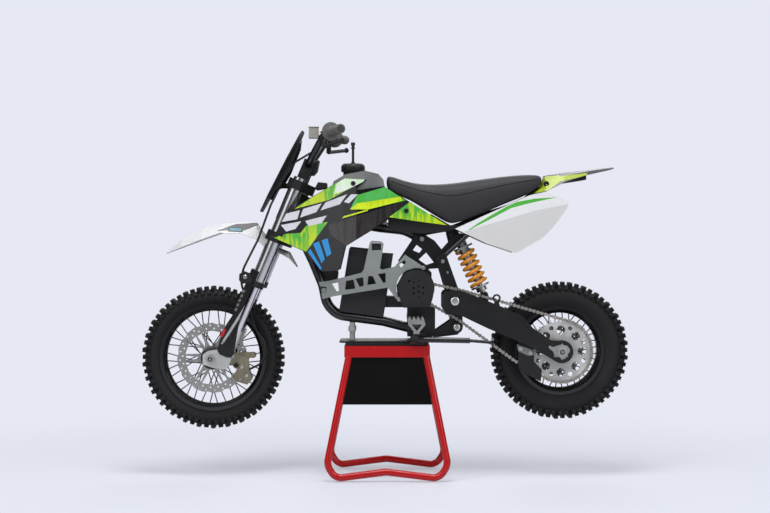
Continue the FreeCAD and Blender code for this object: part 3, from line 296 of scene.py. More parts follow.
NODE_FINISH = (
    ("front_rim", "black_rim"), ("rear_rim", "black_rim"), ("front_hub", "black_frame"),
    ("rear_hub", "black_frame"), ("front_disc", "steel_disc"), ("rear_disc", "steel_disc"),
    ("rear_sprocket", "sprocket_steel"), ("fork_tubes", "fork_alloy"), ("fork_stanchions", "chrome_tube"),
    ("fork_lugs", "lug_alloy"), ("fork_guards", "guard_skin"), ("upper_yoke", "black_cast"),
    ("lower_yoke", "black_cast"), ("steering_stem", "steel_bare"), ("handlebar", "black_frame"),
    ("bar_clamp", "black_cast"), ("grips", "grip_rubber"), ("brake_levers", "black_cast"),
    ("front_axle", "steel_bare"), ("front_fender", "fender_skin"), ("number_plate", "black_mould"),
    ("front_caliper", "alloy_gold"), ("battery_pack", "dark_case"), ("motor", "black_cast"),
    ("motor_cover", "black_mould"), ("motor_bracket", "bracket_paint"), ("controller_box", "black_mould"),
    ("main_frame", "black_frame"), ("subframe", "black_frame"), ("skid_plate", "skid_paint"),
    ("foot_pegs", "steel_bare"), ("side_stand_lug", "black_frame"), ("side_stand", "black_frame"),
    ("swingarm", "black_frame"), ("rear_axle", "steel_bare"), ("chain_adjusters", "alloy_cast"),
    ("rear_caliper", "alloy_gold"), ("chain_guide", "black_mould"), ("chain_roller", "black_mould"),
    ("shock_spring", "spring_paint"), ("shock_absorber", "alloy_cast"), ("tank", "grey_mould"),
    ("shroud_left", "shroud_skin"), ("shroud_right", "shroud_skin"), ("side_panel_left", "panel_skin"),
    ("side_panel_right", "panel_skin"), ("tank_cap", "black_mould"), ("rear_fender", "tail_skin"),
    ("paddock_stand", "stand_paint"), ("stand_mat", "mat_rubber"), ("stand_panels", "sign_black"),
    ("front_brake_hose", "black_mould"), ("frame_lattice", "black_frame"), ("seat_base", "black_mould"),
)


def dress_nodes():
    for node, name in NODE_FINISH:
        data = NODES[node].data
        data.materials.clear()
        data.materials.append(FINISHES[name])


# Mesh helpers

def from_mm(x, y, z):
    return Vector((x, y, z)) * MM


def link_object(name, data):
    obj = bpy.data.objects.new(name, data)
    bpy.context.scene.collection.objects.link(obj)
    return obj


def new_piece(name, bm, mat, body, smooth=True):
    """A piece from a finished mesh, riding on a body"""
    mesh = bpy.data.meshes.new(name)
    bmesh.ops.recalc_face_normals(bm, faces=bm.faces)
    bm.to_mesh(mesh)
    bm.free()
    for face in mesh.polygons:
        face.use_smooth = smooth
    obj = link_object(name, mesh)
    mesh.materials.append(FINISHES[mat])
    if smooth:
        mesh.set_sharp_from_angle(angle=math.radians(38))
    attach(obj, body)
    return obj


def soften(obj, width):
    """Bevelled edges"""
    bevel = obj.modifiers.new("edges", "BEVEL")
    bevel.width = width
    bevel.segments = 2


def bridge(bm, a, b):
    """Faces between two loops that have as many corners"""
    for i, corner in enumerate(a):
        j = (i + 1) % len(a)
        bm.faces.new((corner, a[j], b[j], b[i]))


def closed_form(bm, loops):
    """Faces along a row of loops, and one over each end"""
    for a, b in zip(loops, loops[1:]):
        bridge(bm, a, b)
    bm.faces.new(loops[0])
    bm.faces.new(loops[-1])


def lathe(bm, profile, centre, steps):
    """Turns a closed profile of radius and y about an axis across the bike"""
    rings = []
    for k in range(steps):
        a = 2 * math.pi * k / steps
        rings.append([bm.verts.new(centre + Vector((r * math.cos(a), y, r * math.sin(a))))
                      for r, y in profile])
    for k, ring in enumerate(rings):
        bridge(bm, ring, rings[(k + 1) % steps])


def frustum(bm, origin, along, across, up, low, high, tall):
    """A tapered block: low and high are half sizes along and across"""
    vs = []
    for (ha, hc), rise in ((low, 0), (high, tall)):
        for sa, sc in ((-1, -1), (1, -1), (1, 1), (-1, 1)):
            vs.append(bm.verts.new(origin + along * ha * sa + across * hc * sc + up * rise))
    for quad in ((0, 1, 2, 3), (4, 5, 6, 7), (0, 1, 5, 4), (1, 2, 6, 5), (2, 3, 7, 6), (3, 0, 4, 7)):
        bm.faces.new([vs[i] for i in quad])


def stepped_bar(bm, start, axis, rows, steps=20):
    """Round piece whose rows are distance along the axis and radius"""
    axis = axis.normalized()
    side = axis.orthogonal().normalized()
    other = axis.cross(side)
    turns = [2 * math.pi * k / steps for k in range(steps)]
    closed_form(bm, [[bm.verts.new(start + axis * d + (side * math.cos(t) + other * math.sin(t)) * r)
                      for t in turns] for d, r in rows])


def round_bar(bm, a, b, r0, r1, steps):
    stepped_bar(bm, a, b - a, ((0, r0), ((b - a).length, r1)), steps)


def bolt_head(bm, at, axis, r, tall, hexed=False):
    """A cap screw with its socket, or a hex head with its washer"""
    rows = ((0, r), (tall * 0.75, r), (tall, r * 0.85), (tall, r * 0.5), (tall * 0.45, r * 0.45))
    if hexed:
        rows = ((0, r * 1.25), (tall * 0.25, r * 1.25), (tall * 0.25, r), (tall, r * 0.96))
    stepped_bar(bm, at, axis, rows, 6 if hexed else 14)


def prism(bm, outline, y0, y1):
    """A flat piece: its outline in x and z (mm) between two planes across the bike (mm)"""
    closed_form(bm, [[bm.verts.new(from_mm(x, y, z)) for x, z in outline] for y in (y0, y1)])


def skin_y(node, x, z, s):
    """How far out a piece's side is at x and z (mm)"""
    obj = NODES[node]
    turn = obj.matrix_world.inverted()
    a = turn @ from_mm(x, s * 400, z)
    b = turn @ from_mm(x, 0, z)
    hit, place, _, _ = obj.ray_cast(a, (b - a).normalized(), distance=(b - a).length)
    return (obj.matrix_world @ place).y / MM if hit else None


def skin_bolts(name, mat, body, rows, tall, sink, sides=(-1,)):
    """Screw heads sunk a little into the sides of pieces. Rows: node, x, z, head radius (mm)"""
    bm = bmesh.new()
    for node, x, z, r in rows:
        for s in sides:
            y = skin_y(node if s < 0 else node.replace("left", "right"), x, z, s)
            if y is not None:
                bolt_head(bm, from_mm(x, y - s * sink, z), Vector((0, s, 0)), r * MM, tall * MM)
    new_piece(name, bm, mat, body)


# Tyres

TYRE_LIP = {"front": 0.0219, "rear": 0.0279}
BEAD = 0.0078
EDGE_ROOM = 0.0012
KNOB_SCALE_R = 0.2245


def carcass(outer, rim_r, half, lip):
    """The tyre's closed section: radius and y"""
    crown = outer - sizes().knob_height
    rise = crown - rim_r
    side = ((rim_r - BEAD, lip), (rim_r + 0.001, lip), (rim_r + 0.004, lip + 0.001),
            (rim_r + rise * 0.30, half * 0.90), (rim_r + rise * 0.52, half * 0.955),
            (rim_r + rise * 0.72, half * 0.88), (rim_r + rise * 0.90, half * 0.62), (crown, half * 0.30))
    inner = [(rim_r - BEAD, -lip + 0.008), (crown - 0.008, -half * 0.5), (crown - 0.008, half * 0.5),
             (rim_r - BEAD, lip - 0.008)]
    return list(side) + [(crown + 0.0004, 0.0)] + [(r, -y) for r, y in reversed(side)] + inner


def knob_rows(crown):
    """Rows of knobs: angle shift, place across, lean, half length, half width, height, base radius"""
    rows = []
    for s in (-1, 1):
        rows += [(0.0, 0.20 * s, 0.10 * s, 0.0060, 0.0058, 1.00, crown),
                 (0.5, 0.50 * s, 0.40 * s, 0.0062, 0.0060, 1.00, crown - 0.0012),
                 (0.27, 0.79 * s, 0.90 * s, 0.0048, 0.0072, 0.92, crown - 0.0075),
                 (0.77, 0.79 * s, 0.90 * s, 0.0048, 0.0072, 0.92, crown - 0.0075)]
    return rows + [(0.5, 0.0, 0.0, 0.0056, 0.0060, 0.98, crown)]


def knobbly_tyre(tag, outer, rim_r, half, count, seed):
    """Carcass turned about the axle with rows of tapered knobs"""
    rng = random.Random(seed)
    tall = sizes().knob_height
    centre = AXLES[tag]
    wide = Vector((0, 1, 0))
    scale = outer / KNOB_SCALE_R
    step = 2 * math.pi / count
    bm = bmesh.new()
    lathe(bm, carcass(outer, rim_r, half, TYRE_LIP[tag]), centre, 120)
    for k in range(count):
        for shift, across, lean, hl, hw, high, base in knob_rows(outer - tall):
            a = (k + shift) * step
            radial = Vector((math.cos(a), 0, math.sin(a)))
            along = Vector((-math.sin(a), 0, math.cos(a)))
            up = (radial * math.cos(lean) + wide * math.sin(lean)).normalized()
            flat = (wide * math.cos(lean) - radial * math.sin(lean)).normalized()
            origin = centre + radial * (base - 0.002) + wide * (across * half)
            # the knob's reach stays inside the tyre's radius and width
            reach = tall * high + 0.002
            top = origin - centre + up * reach
            reach -= max(0, math.hypot(top.x, top.z) - (outer - EDGE_ROOM))
            reach -= max(0, abs(top.y) - (half - 0.002))
            jitter = 1 + 0.04 * rng.uniform(-1, 1)
            frustum(bm, origin, along, flat, up, (hl * scale * 1.3, hw * scale * 1.2),
                    (hl * scale * jitter, hw * scale), reach)
            # moulding hair
            foot = origin + up * (reach - 0.001) + along * hl * 0.6 * rng.uniform(-1, 1)
            if abs(across) < 0.6:
                tip = foot + up * 0.001 + radial * rng.uniform(0.0015, 0.0035)
                round_bar(bm, foot, tip, 0.00045, 0.0002, 4)
    obj = new_piece(tag + "_knobbly_tyre", bm, "tyre_rubber", tag + "_wheel")
    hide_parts(tag + "_tyre")


# Chain

CHAIN_Y = -0.062
LINK = 12.7
REAR_TEETH = 48
# sprockets: centre in x and z, and the radius that the pins run on (mm)
SPROCKETS = {"motor": ((97, 593), 22.5), "rear": ((549, 395), LINK / (2 * math.sin(math.pi / REAR_TEETH)))}
# where the chain passes over the slider, under the roller and over the guide, in x and z (mm)
SLIDER, ROLLER, GUIDE = (245, 584), (228, 493.5), (404, 365.5)


def touch_point(p, c, r, upper):
    dx, dz = p[0] - c[0], p[1] - c[1]
    base = math.atan2(dz, dx)
    turn = math.acos(r / math.hypot(dx, dz))
    options = [(c[0] + r * math.cos(base + s * turn), c[1] + r * math.sin(base + s * turn)) for s in (1, -1)]
    options.sort(key=lambda q: q[1])
    return options[1] if upper else options[0]



def wrap(c, r, a, b, count=40):
    """Points clockwise round a sprocket from a to b"""
    t0 = math.atan2(a[1] - c[1], a[0] - c[0])
    t1 = math.atan2(b[1] - c[1], b[0] - c[0])
    while t1 > t0:
        t1 -= 2 * math.pi
    turns = [t0 + (t1 - t0) * k / count for k in range(count + 1)]
    return [(c[0] + r * math.cos(t), c[1] + r * math.sin(t), r) for t in turns]


def chain_points():
    """The chain's line in x and z (mm), closer together than a link, with the radius where it wraps"""
    motor, small = SPROCKETS["motor"]
    rear, big = SPROCKETS["rear"]
    pts = [(SLIDER[0], SLIDER[1] - 0.6, 0)]
    pts += wrap(rear, big, touch_point(SLIDER, rear, big, True), touch_point(GUIDE, rear, big, False))
    pts += [GUIDE + (0,), ROLLER + (0,)]
    pts += wrap(motor, small, touch_point(ROLLER, motor, small, False),
                touch_point(SLIDER, motor, small, True))
    return pts


def chain_pins():
    """Each pin's place, and whether it lies on a sprocket"""
    pts = chain_points()
    loop = pts + [pts[0]]
    total = sum(math.dist(a[:2], b[:2]) for a, b in zip(loop, loop[1:]))
    count = 2 * round(total * MM / sizes().chain_pitch / 2)
    pins = []
    seg, left = 0, 0.0
    for k in range(count):
        want = k * total / count
        while True:
            a, b = loop[seg], loop[seg + 1]
            size = math.dist(a[:2], b[:2])
            if left + size >= want or seg == len(loop) - 2:
                break
            left += size
            seg += 1
        t = (want - left) / size
        pins.append((from_mm(a[0] + (b[0] - a[0]) * t, 0, a[1] + (b[1] - a[1]) * t), a[2] > 0 and b[2] > 0))
    return pins


def link_plate(bm, a, b, y0, y1, r):
    """One waisted side plate round both pins"""
    d = (b - a).normalized()
    n = Vector((-d.z, 0, d.x))
    outline = []
    for centre, sign in ((b, 1), (a, -1)):
        for deg in (-80, -40, 0, 40, 80):
            t = math.radians(deg)
            outline.append(centre + (d * math.cos(t) * sign + n * math.sin(t) * sign) * r)
        outline.append((a + b) / 2 + n * sign * r * 0.48)
    closed_form(bm, [[bm.verts.new(Vector((p.x, y, p.z))) for p in outline] for y in (y0, y1)])


def drive_chain():
    """Outer links with their pins, and inner links with rollers where no sprocket tooth is"""
    pins = chain_pins()
    outer, inner = bmesh.new(), bmesh.new()
    for k, (a, on_sprocket) in enumerate(pins):
        b = pins[(k + 1) % len(pins)][0]
        bm, offs = (outer, (-0.0056, 0.0044)) if k % 2 else (inner, (-0.0041, 0.0029))
        for lo in offs:
            link_plate(bm, a, b, CHAIN_Y + lo, CHAIN_Y + lo + 0.0012, 0.0056)
        at = Vector((a.x, CHAIN_Y, a.z))
        for s in (-1, 1):
            side = Vector((0, s, 0))
            round_bar(outer, at + side * 0.0029, at + side * 0.0059, 0.0024, 0.0024, 10)
        if not on_sprocket:
            half = Vector((0, 0.0029, 0))
            round_bar(inner, at - half, at + half, 0.0038, 0.0038, 10)
    new_piece("chain_rollers", inner, "chain_dark", "chassis", smooth=False)
    obj = new_piece("chain_links", outer, "chain_steel", "chassis", smooth=False)
    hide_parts("drive_chain")


# Seat

# stations along the seat: x, side edge height, top height, half width (mm)
SEAT_ROWS = ((4, 904, 942, 54), (20, 894, 943.5, 58), (48, 880, 933, 62), (81, 868, 923.5, 66),
             (112, 848, 918.5, 71), (144, 829, 917, 77), (176, 809, 918, 81), (206, 792, 920.5, 83),
             (230, 796, 923, 83.5), (262, 807, 928, 83.5), (300, 822, 933, 83), (340, 839, 938.5, 82),
             (380, 856, 943, 80.5), (420, 872, 946.5, 79), (451, 885, 947.5, 76), (474, 902, 947, 71),
             (487, 913, 943.5, 64), (491, 922, 936, 58))
# one side of a station: share of the half width, share of the height
SEAT_SIDE = ((1.0, 0.0), (1.0, 0.22), (0.985, 0.42), (0.955, 0.60), (0.90, 0.76), (0.81, 0.885),
             (0.66, 0.958), (0.46, 0.986), (0.23, 0.998), (0.0, 1.0))


def seat_seam(tag, s):
    """Sewn line along one side, where the side of the cover meets the top"""
    name = "seat_seam_" + tag
    curve = bpy.data.curves.new(name, "CURVE")
    curve.dimensions = "3D"
    curve.bevel_depth = 0.0011
    spline = curve.splines.new("POLY")
    line = [from_mm(x, s * (w * 0.93 + 0.2), z0 + (z1 - z0) * 0.69) for x, z0, z1, w in SEAT_ROWS[1:-2]]
    spline.points.add(len(line) - 1)
    for point, at in zip(spline.points, line):
        point.co = tuple(at) + (1,)
    curve.materials.append(FINISHES["black_mould"])
    seam = link_object(name, curve)
    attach(seam, "chassis")


def padded_seat():
    """Long padded seat: crowned top, sides pulled in under a sewn edge"""
    bm = bmesh.new()
    rings = []
    for x, z0, z1, w in SEAT_ROWS:
        pts = [(-w * a, z0 + (z1 - z0) * b) for a, b in SEAT_SIDE]
        pts += [(w * a, z0 + (z1 - z0) * b) for a, b in reversed(SEAT_SIDE[:-1])]
        pts += [(w * 0.9, z0 + 2), (0, z0 + 3), (-w * 0.9, z0 + 2)]
        rings.append([bm.verts.new(from_mm(x, y, z)) for y, z in pts])
    closed_form(bm, rings)
    obj = new_piece("seat_pad", bm, "seat_cover", "chassis")
    sub = obj.modifiers.new("rounding", "SUBSURF")
    sub.levels = sub.render_levels = 2
    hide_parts("seat")
    for tag, s in SIDES:
        seat_seam(tag, s)


# Grips and controls

GRIP_RIBS = 22


def ribbed_grips():
    """Flanged grips with ribs round them"""
    bm = bmesh.new()
    for _, s in SIDES:
        start = from_mm(-165, s * 190, 1073.1)
        run = from_mm(-132.3, s * 297, 1075) - start
        size = run.length
        rows = [(0, 0.0115), (0, 0.0285), (0.0015, 0.029), (0.0045, 0.0285), (0.006, 0.016)]
        for k in range(GRIP_RIBS):
            t = 0.010 + (size - 0.022) * k / (GRIP_RIBS - 1)
            rows += [(t, 0.0135), (t + 0.0012, 0.0149), (t + 0.0028, 0.0149)]
        rows += [(size - 0.006, 0.0146), (size - 0.001, 0.0146), (size, 0.0135), (size, 0.0115)]
        stepped_bar(bm, start, run, rows, 24)
    obj = new_piece("ribbed_grips", bm, "grip_rubber", "steering")
    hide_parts("grips")


def handlebar_controls():
    """Collars, lever pivots and lever ends on the bar"""
    bm = bmesh.new()
    for _, s in SIDES:
        a, b = from_mm(-190, s * 143, 1054), from_mm(-183, s * 156, 1060)
        stepped_bar(bm, a, b - a, ((0, 0.014), (0.001, 0.0165), (0.013, 0.0165), (0.0145, 0.014)), 20)
        bolt_head(bm, from_mm(-196, s * 165, 1072), Vector((-0.4, 0, 1)), 0.004, 0.003)
        round_bar(bm, from_mm(-130, s * 288, 1040), from_mm(-127.5, s * 292, 1040), 0.0085, 0.0085, 14)
    new_piece("bar_controls", bm, "black_mould", "steering")


def display_box():
    """Small box on the bar, and its lid"""
    bm = bmesh.new()
    ahead, across, up = Vector((1, 0, 0)), Vector((0, 1, 0)), Vector((0, 0, 1))
    frustum(bm, from_mm(-219, -147, 1054), ahead, across, up, (0.0155, 0.017), (0.0145, 0.016), 0.033)
    frustum(bm, from_mm(-219, -147, 1087), ahead, across, up, (0.0165, 0.018), (0.0155, 0.017), 0.004)
    box = new_piece("display_box", bm, "control_beige", "steering", smooth=False)
    soften(box, 0.002)


# Small fastenings

# bolts on the sides: x, y, z, head radius, height (mm)
SIDE_BOLTS = ((114, -17, 749, 6.5, 5), (181, -54, 675, 6.5, 5), (217, -104, 552, 13, 3.5),
              (119, -92, 655, 5.5, 4), (44, -92, 557, 5.5, 4), (224, -76, 469, 10, 3),
              (424, -74.5, 404, 6.5, 3), (454, -74.5, 390, 6.5, 3), (196, -54, 640, 4, 3))
# bolts further out than this are on the left only
BOTH_SIDES_Y = 90.6
HUB_BOLT_R = 0.030


def hub_bolts(name, tag, y, r, tall):
    """Six screws round a hub"""
    bm = bmesh.new()
    for k in range(6):
        a = math.radians(60 * k + 30)
        at = AXLES[tag] + Vector((HUB_BOLT_R * math.cos(a), y, HUB_BOLT_R * math.sin(a)))
        bolt_head(bm, at, LEFT, r, tall)
    new_piece(name, bm, "bolt_zinc", tag + "_wheel")


def fastenings():
    """Bolts that hold the frame, motor, bracket, wheels and panels"""
    chassis, steering = bmesh.new(), bmesh.new()
    for x, y, z, r, tall in SIDE_BOLTS:
        bolt_head(chassis, from_mm(x, y, z), LEFT, r * MM, tall * MM)
        if abs(y) < BOTH_SIDES_Y:
            bolt_head(chassis, from_mm(x, -y, z), -LEFT, r * MM, tall * MM)
    for _, s in SIDES:
        side = Vector((0, s, 0))
        bolt_head(chassis, AXLES["rear"] + side * 0.110, side, 0.0125, 0.006, hexed=True)
        bolt_head(steering, AXLES["front"] + side * 0.113, side, 0.0105, 0.004, hexed=True)
    new_piece("chassis_bolts", chassis, "bolt_zinc", "chassis")
    new_piece("fork_bolts", steering, "bolt_zinc", "steering")
    hub_bolts("front_disc_bolts", "front", -0.0498, 0.0042, 0.0028)
    hub_bolts("rear_sprocket_bolts", "rear", -0.0645, 0.0045, 0.003)


# Trim

STEER_LEAN = math.radians(22.5)
PLATE_TIP = math.radians(27.5)
BOOT = ((-497, 470), (-512, 432), (-520, 401), (-513, 388), (-490, 378), (-477, 378), (-468, 391),
        (-463, 423), (-456.5, 460), (-449.5, 503), (-470, 507))
# the side return of the number plate, out from its face and up it, open where the hose passes
RETURN = [(-392 + u * math.cos(PLATE_TIP) + w * math.sin(PLATE_TIP),
           832 - u * math.sin(PLATE_TIP) + w * math.cos(PLATE_TIP))
          for u, w in ((3, 46), (12, 48), (12, 84), (22, 98), (25, 150), (17, 232), (5, 264), (3, 190))]
# flat pieces: name, finish, body, slot, bevel (mm), and the outline and two planes (mm) of each plate
FLAT_PIECES = (
    ("fork_boots", "guard_skin", "steering", "black_plastic", 0, ((BOOT, -67, -107), (BOOT, 67, 107))),
    ("guard_accent", "accent_red", "steering", "red_paint", 0,
     ((((-499, 468), (-492, 464), (-505, 440), (-511, 445)), -107.6, -98),)),
    ("number_plate_returns", "black_mould", "steering", "black_plastic", 0,
     ((RETURN, -79, -76), (RETURN, 76, 79))),
    ("key_box", "black_mould", "steering", "black_plastic", 2.5,
     ((((-240, 990), (-206, 993), (-213, 958), (-224, 945), (-248, 945)), -33, 33),
      (((-222, 905), (-211, 925), (-182, 922), (-182, 904), (-214, 898)), -15, 15))),
    ("cradle_box", "black_mould", "chassis", "black_plastic", 3,
     ((((-214, 652), (-152, 652), (-147, 640), (-150, 616), (-160, 608), (-196, 604)), -33, 33),)),
    ("guide_strap", "bracket_paint", "chassis", "grey_paint", 0,
     ((((411, 417), (462, 399), (467, 383), (447, 381), (415, 396)), -75, -72.6),)),
    ("tail_block", "black_mould", "chassis", "black_plastic", 0,
     ((((538, 917), (587, 932), (589, 946), (633, 953), (633, 932), (604, 927)), -27, 27),)),
    ("hose_clamp", "black_cast", "steering", "black_metal", 0,
     ((((-451, 637), (-436, 646), (-420, 640), (-410, 620), (-418, 610), (-443, 606), (-452, 618)),
       -113, -101),)),
)
FRAME_BOLTS = (("frame_lattice", 116, 745, 7.5), ("frame_lattice", 183, 669, 7.5),
               ("motor_bracket", 122, 646, 6), ("motor_bracket", 58, 541, 6))
PANEL_SCREWS = (("shroud_left", -99, 918, 7.5), ("shroud_left", 66, 833, 7.5), ("rear_fender", 503, 917, 9),
                ("shroud_left", -318, 757, 4.5))
CALIPER_BOLTS = (("front_caliper", -447, 345, 5), ("front_caliper", -432, 318, 5),
                 ("front_caliper", -452, 306, 4), ("front_caliper", -474, 378, 5))


def flat_pieces():
    for name, mat, body, slot, bevel, plates in FLAT_PIECES:
        bm = bmesh.new()
        for outline, y0, y1 in plates:
            prism(bm, outline, y0, y1)
        obj = new_piece(name, bm, mat, body, smooth=False)
        if bevel:
            soften(obj, bevel * MM)


def window_cutter():
    """A tapered block for each arm of the front disc's carrier"""
    c = AXLES["front"] / MM
    bm = bmesh.new()
    for k in range(6):
        cos, sin = math.cos(math.radians(60 * k)), math.sin(math.radians(60 * k))
        prism(bm, [(c.x + r * cos - w * sin, c.z + r * sin + w * cos)
                   for r, w in ((43, 3), (82, 7), (82, -7), (43, -3))], -70, -30)
    bmesh.ops.recalc_face_normals(bm, faces=bm.faces)
    mesh = bpy.data.meshes.new("disc_cutter")
    bm.to_mesh(mesh)
    bm.free()
    return link_object("disc_cutter", mesh)


def disc_blank():
    """A copy of the front disc, in the scene's own axes"""
    node = NODES["front_disc"]
    mesh = node.data.copy()
    bm = bmesh.new()
    bm.from_mesh(mesh)
    bm.transform(node.matrix_world)
    bmesh.ops.remove_doubles(bm, verts=bm.verts, dist=1e-6)
    bm.to_mesh(mesh)
    bm.free()
    return link_object("disc_blank", mesh)


def windowed_disc():
    """The front disc with a window through each arm of its carrier"""
    blank, cutter = disc_blank(), window_cutter()
    cut = blank.modifiers.new("windows", "BOOLEAN")
    cut.operation = "DIFFERENCE"
    cut.solver = "EXACT"
    cut.object = cutter
    bpy.context.view_layer.update()
    result = bpy.data.meshes.new_from_object(blank.evaluated_get(bpy.context.evaluated_depsgraph_get()))
    bm = bmesh.new()
    bm.from_mesh(result)
    for mesh in (blank.data, cutter.data, result):
        bpy.data.meshes.remove(mesh)
    obj = new_piece("front_brake_rotor", bm, "steel_disc", "front_wheel", smooth=False)
    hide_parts("front_disc")


def front_hub_cover():
    """Black ring between the fork's lug and the disc"""
    bm = bmesh.new()
    lathe(bm, ((0.0125, -0.0658), (0.031, -0.0658), (0.0345, -0.064), (0.0345, -0.0575), (0.031, -0.0555),
               (0.0125, -0.0555)), AXLES["front"], 48)
    new_piece("front_hub_cover", bm, "black_cast", "steering")


def caliper_details():
    """Carrier with its two sliders, and a black disc on the front one as painted shade for its hollow bore
    """
    bm = bmesh.new()
    stepped_bar(bm, from_mm(-464, -60, 351), LEFT, ((0, 0.0105), (0.008, 0.0105), (0.010, 0.0095)), 28)
    stepped_bar(bm, from_mm(-412, -50, 383), LEFT, ((0, 0.0095), (0.018, 0.0095), (0.020, 0.008)), 24)
    prism(bm, ((-474, 384), (-458, 392), (-414, 392), (-404, 380), (-430, 370), (-452, 366)), -60, -54)
    new_piece("caliper_carrier", bm, "alloy_gold", "steering")
    # black disc on the front slider's end: painted shade standing in for the dark inside of its bore
    bm = bmesh.new()
    stepped_bar(bm, from_mm(-464, -69.6, 351), LEFT, ((0, 0.0075), (0.0012, 0.0075)), 24)
    new_piece("caliper_bore_shade", bm, "black_cast", "steering")


def filler_cap():
    """Neck, fluted rim with a bevelled crown, and the breather"""
    bm = bmesh.new()
    at, up = from_mm(-101, 0, 944), Vector((0, 0, 1))
    stepped_bar(bm, at, up, ((0, 0.031), (0.0135, 0.031)), 40)
    steps = 96
    rings = []
    for h, r, flute in ((0.0125, 0.0355, 1), (0.0155, 0.0378, 1), (0.0300, 0.0378, 1), (0.0345, 0.0355, 1),
                        (0.0390, 0.0300, 0), (0.0400, 0.0120, 0)):
        loop = []
        for k in range(steps):
            a = 2 * math.pi * k / steps
            q = r - (0.0012 if flute and k % 6 in (0, 1) else 0.0)
            loop.append(bm.verts.new(at + Vector((q * math.cos(a), q * math.sin(a), h))))
        rings.append(loop)
    closed_form(bm, rings)
    breather = ((0, 0.0062), (0.004, 0.0062), (0.005, 0.0040), (0.046, 0.0040), (0.047, 0.0062),
                (0.0515, 0.0062), (0.0525, 0.0045), (0.056, 0.0045), (0.057, 0.0066), (0.0655, 0.0066),
                (0.067, 0.005))
    stepped_bar(bm, at + up * 0.0395, up, breather, 16)
    cap = new_piece("filler_cap", bm, "black_mould", "chassis")
    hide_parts("tank_cap")


def damper_reservoir():
    """Reservoir above the shock, its clamp and its fitting"""
    rise = Vector((-0.25, 0, 0.97)).normalized()
    bm = bmesh.new()
    body = ((0, 0.0165), (0.003, 0.0200), (0.030, 0.0200), (0.031, 0.0190), (0.034, 0.0190), (0.035, 0.0200),
            (0.042, 0.0200), (0.045, 0.0170))
    stepped_bar(bm, from_mm(219, 0, 738), rise, body, 40)
    prism(bm, ((226, 752), (252, 748), (254, 760), (224, 766)), -8, 8)
    new_piece("damper_reservoir", bm, "black_mould", "chassis")
    bm = bmesh.new()
    fitting = ((0, 0.006), (0.003, 0.0072), (0.009, 0.0072), (0.012, 0.010), (0.013, 0.010))
    stepped_bar(bm, from_mm(222, 0, 726), rise, fitting, 18)
    new_piece("reservoir_fitting", bm, "bolt_zinc", "chassis")


def cable_ring():
    """Ring for the cable on the swingarm, and its foot"""
    bm = bmesh.new()
    turns = [2 * math.pi * k / 10 for k in range(10)]
    hoop = [(0.0100 + 0.0030 * math.cos(t), 0.0030 * math.sin(t)) for t in turns]
    lathe(bm, hoop, from_mm(347.5, -81, 561), 32)
    prism(bm, ((341, 551), (354, 551), (358, 536), (337, 536)), -84, -78)
    new_piece("cable_ring", bm, "black_cast", "chassis")


def axle_blocks():
    """Arrow-ended plate, diamond and washer under each rear axle nut"""
    arrow = ((574, 402), (558, 373), (525, 386), (521, 396), (507, 408), (509, 415), (522, 410), (535, 415),
             (547, 418), (565, 414))
    diamond = ((549, 422), (573, 396), (549, 370), (525, 396))
    bm = bmesh.new()
    for _, s in SIDES:
        prism(bm, arrow, s * 102.5, s * 106)
        prism(bm, diamond, s * 105.5, s * 108.5)
        side = Vector((0, s, 0))
        stepped_bar(bm, AXLES["rear"] + side * 0.1085, side,
                    ((0, 0.0155), (0.0015, 0.0155), (0.002, 0.013)), 32)
    new_piece("axle_blocks", bm, "alloy_cast", "chassis", smooth=False)


def fork_seals():
    """Seal at the foot of each upper fork tube"""
    along = Vector((math.sin(STEER_LEAN), 0, math.cos(STEER_LEAN)))
    bm = bmesh.new()
    for _, s in SIDES:
        foot = from_mm(-376 - 28 * math.cos(STEER_LEAN), s * 85, 591 + 28 * math.sin(STEER_LEAN))
        stepped_bar(bm, foot - along * 0.0064, along,
                    ((0, 0.0235), (0.001, 0.0256), (0.019, 0.0256), (0.021, 0.024)), 40)
    new_piece("fork_seals", bm, "black_mould", "steering")


def hose_clamp_bolt():
    bm = bmesh.new()
    bolt_head(bm, from_mm(-433, -113, 628), LEFT, 0.0062, 0.003)
    new_piece("hose_clamp_bolt", bm, "bolt_zinc", "steering")


def small_trim():
    windowed_disc()
    flat_pieces()
    front_hub_cover()
    caliper_details()
    skin_bolts("frame_bolts", "bolt_zinc", "chassis", FRAME_BOLTS, 4, 0.5)
    filler_cap()
    damper_reservoir()
    cable_ring()
    axle_blocks()
    skin_bolts("panel_screws", "black_mould", "chassis", PANEL_SCREWS, 4.8, 1.0, (-1, 1))
    skin_bolts("caliper_bolts", "bolt_zinc", "steering", CALIPER_BOLTS, 3, 0.5)
    fork_seals()
    hose_clamp_bolt()


# Graphics, each a shape's corners in x and z (mm)

GREEN_STRIPE = (((-278, 838), (-226, 873), (-124, 935), (-120, 897), (-173, 866)),
                ((-341, 749), (-305, 761), (-260, 764), (-243, 706)),
                ((-260, 764), (-242, 787), (-177, 798), (-243, 706)), ((13, 813), (77, 860), (194, 787)))
GREEN_PLAIN = (((-85, 882), (0, 907), (64, 865), (-53, 837), (-109, 837)),)
LIME_STRIPE = (((-109, 837), (-53, 837), (53, 864), (49, 877), (-87, 856)),
               ((-133, 809), (-128, 816), (-54, 837), (-53, 833)))
PALE_FADE = (((-150, 917), (-124, 935), (-63, 931), (-68, 923), (-120, 897), (-158, 884)),)
SPEED_BLOCKS = (((-316, 820), (-262, 834), (-270, 806), (-322, 797)),
                ((-252, 838), (-196, 855), (-212, 828), (-262, 811)),
                ((-184, 858), (-118, 884), (-140, 853), (-200, 833)),
                ((-105, 884), (-84, 884), (-112, 856), (-128, 860)),
                ((-320, 788), (-258, 800), (-276, 776), (-304, 768)),
                ((-246, 801), (-180, 818), (-196, 794), (-236, 786)))
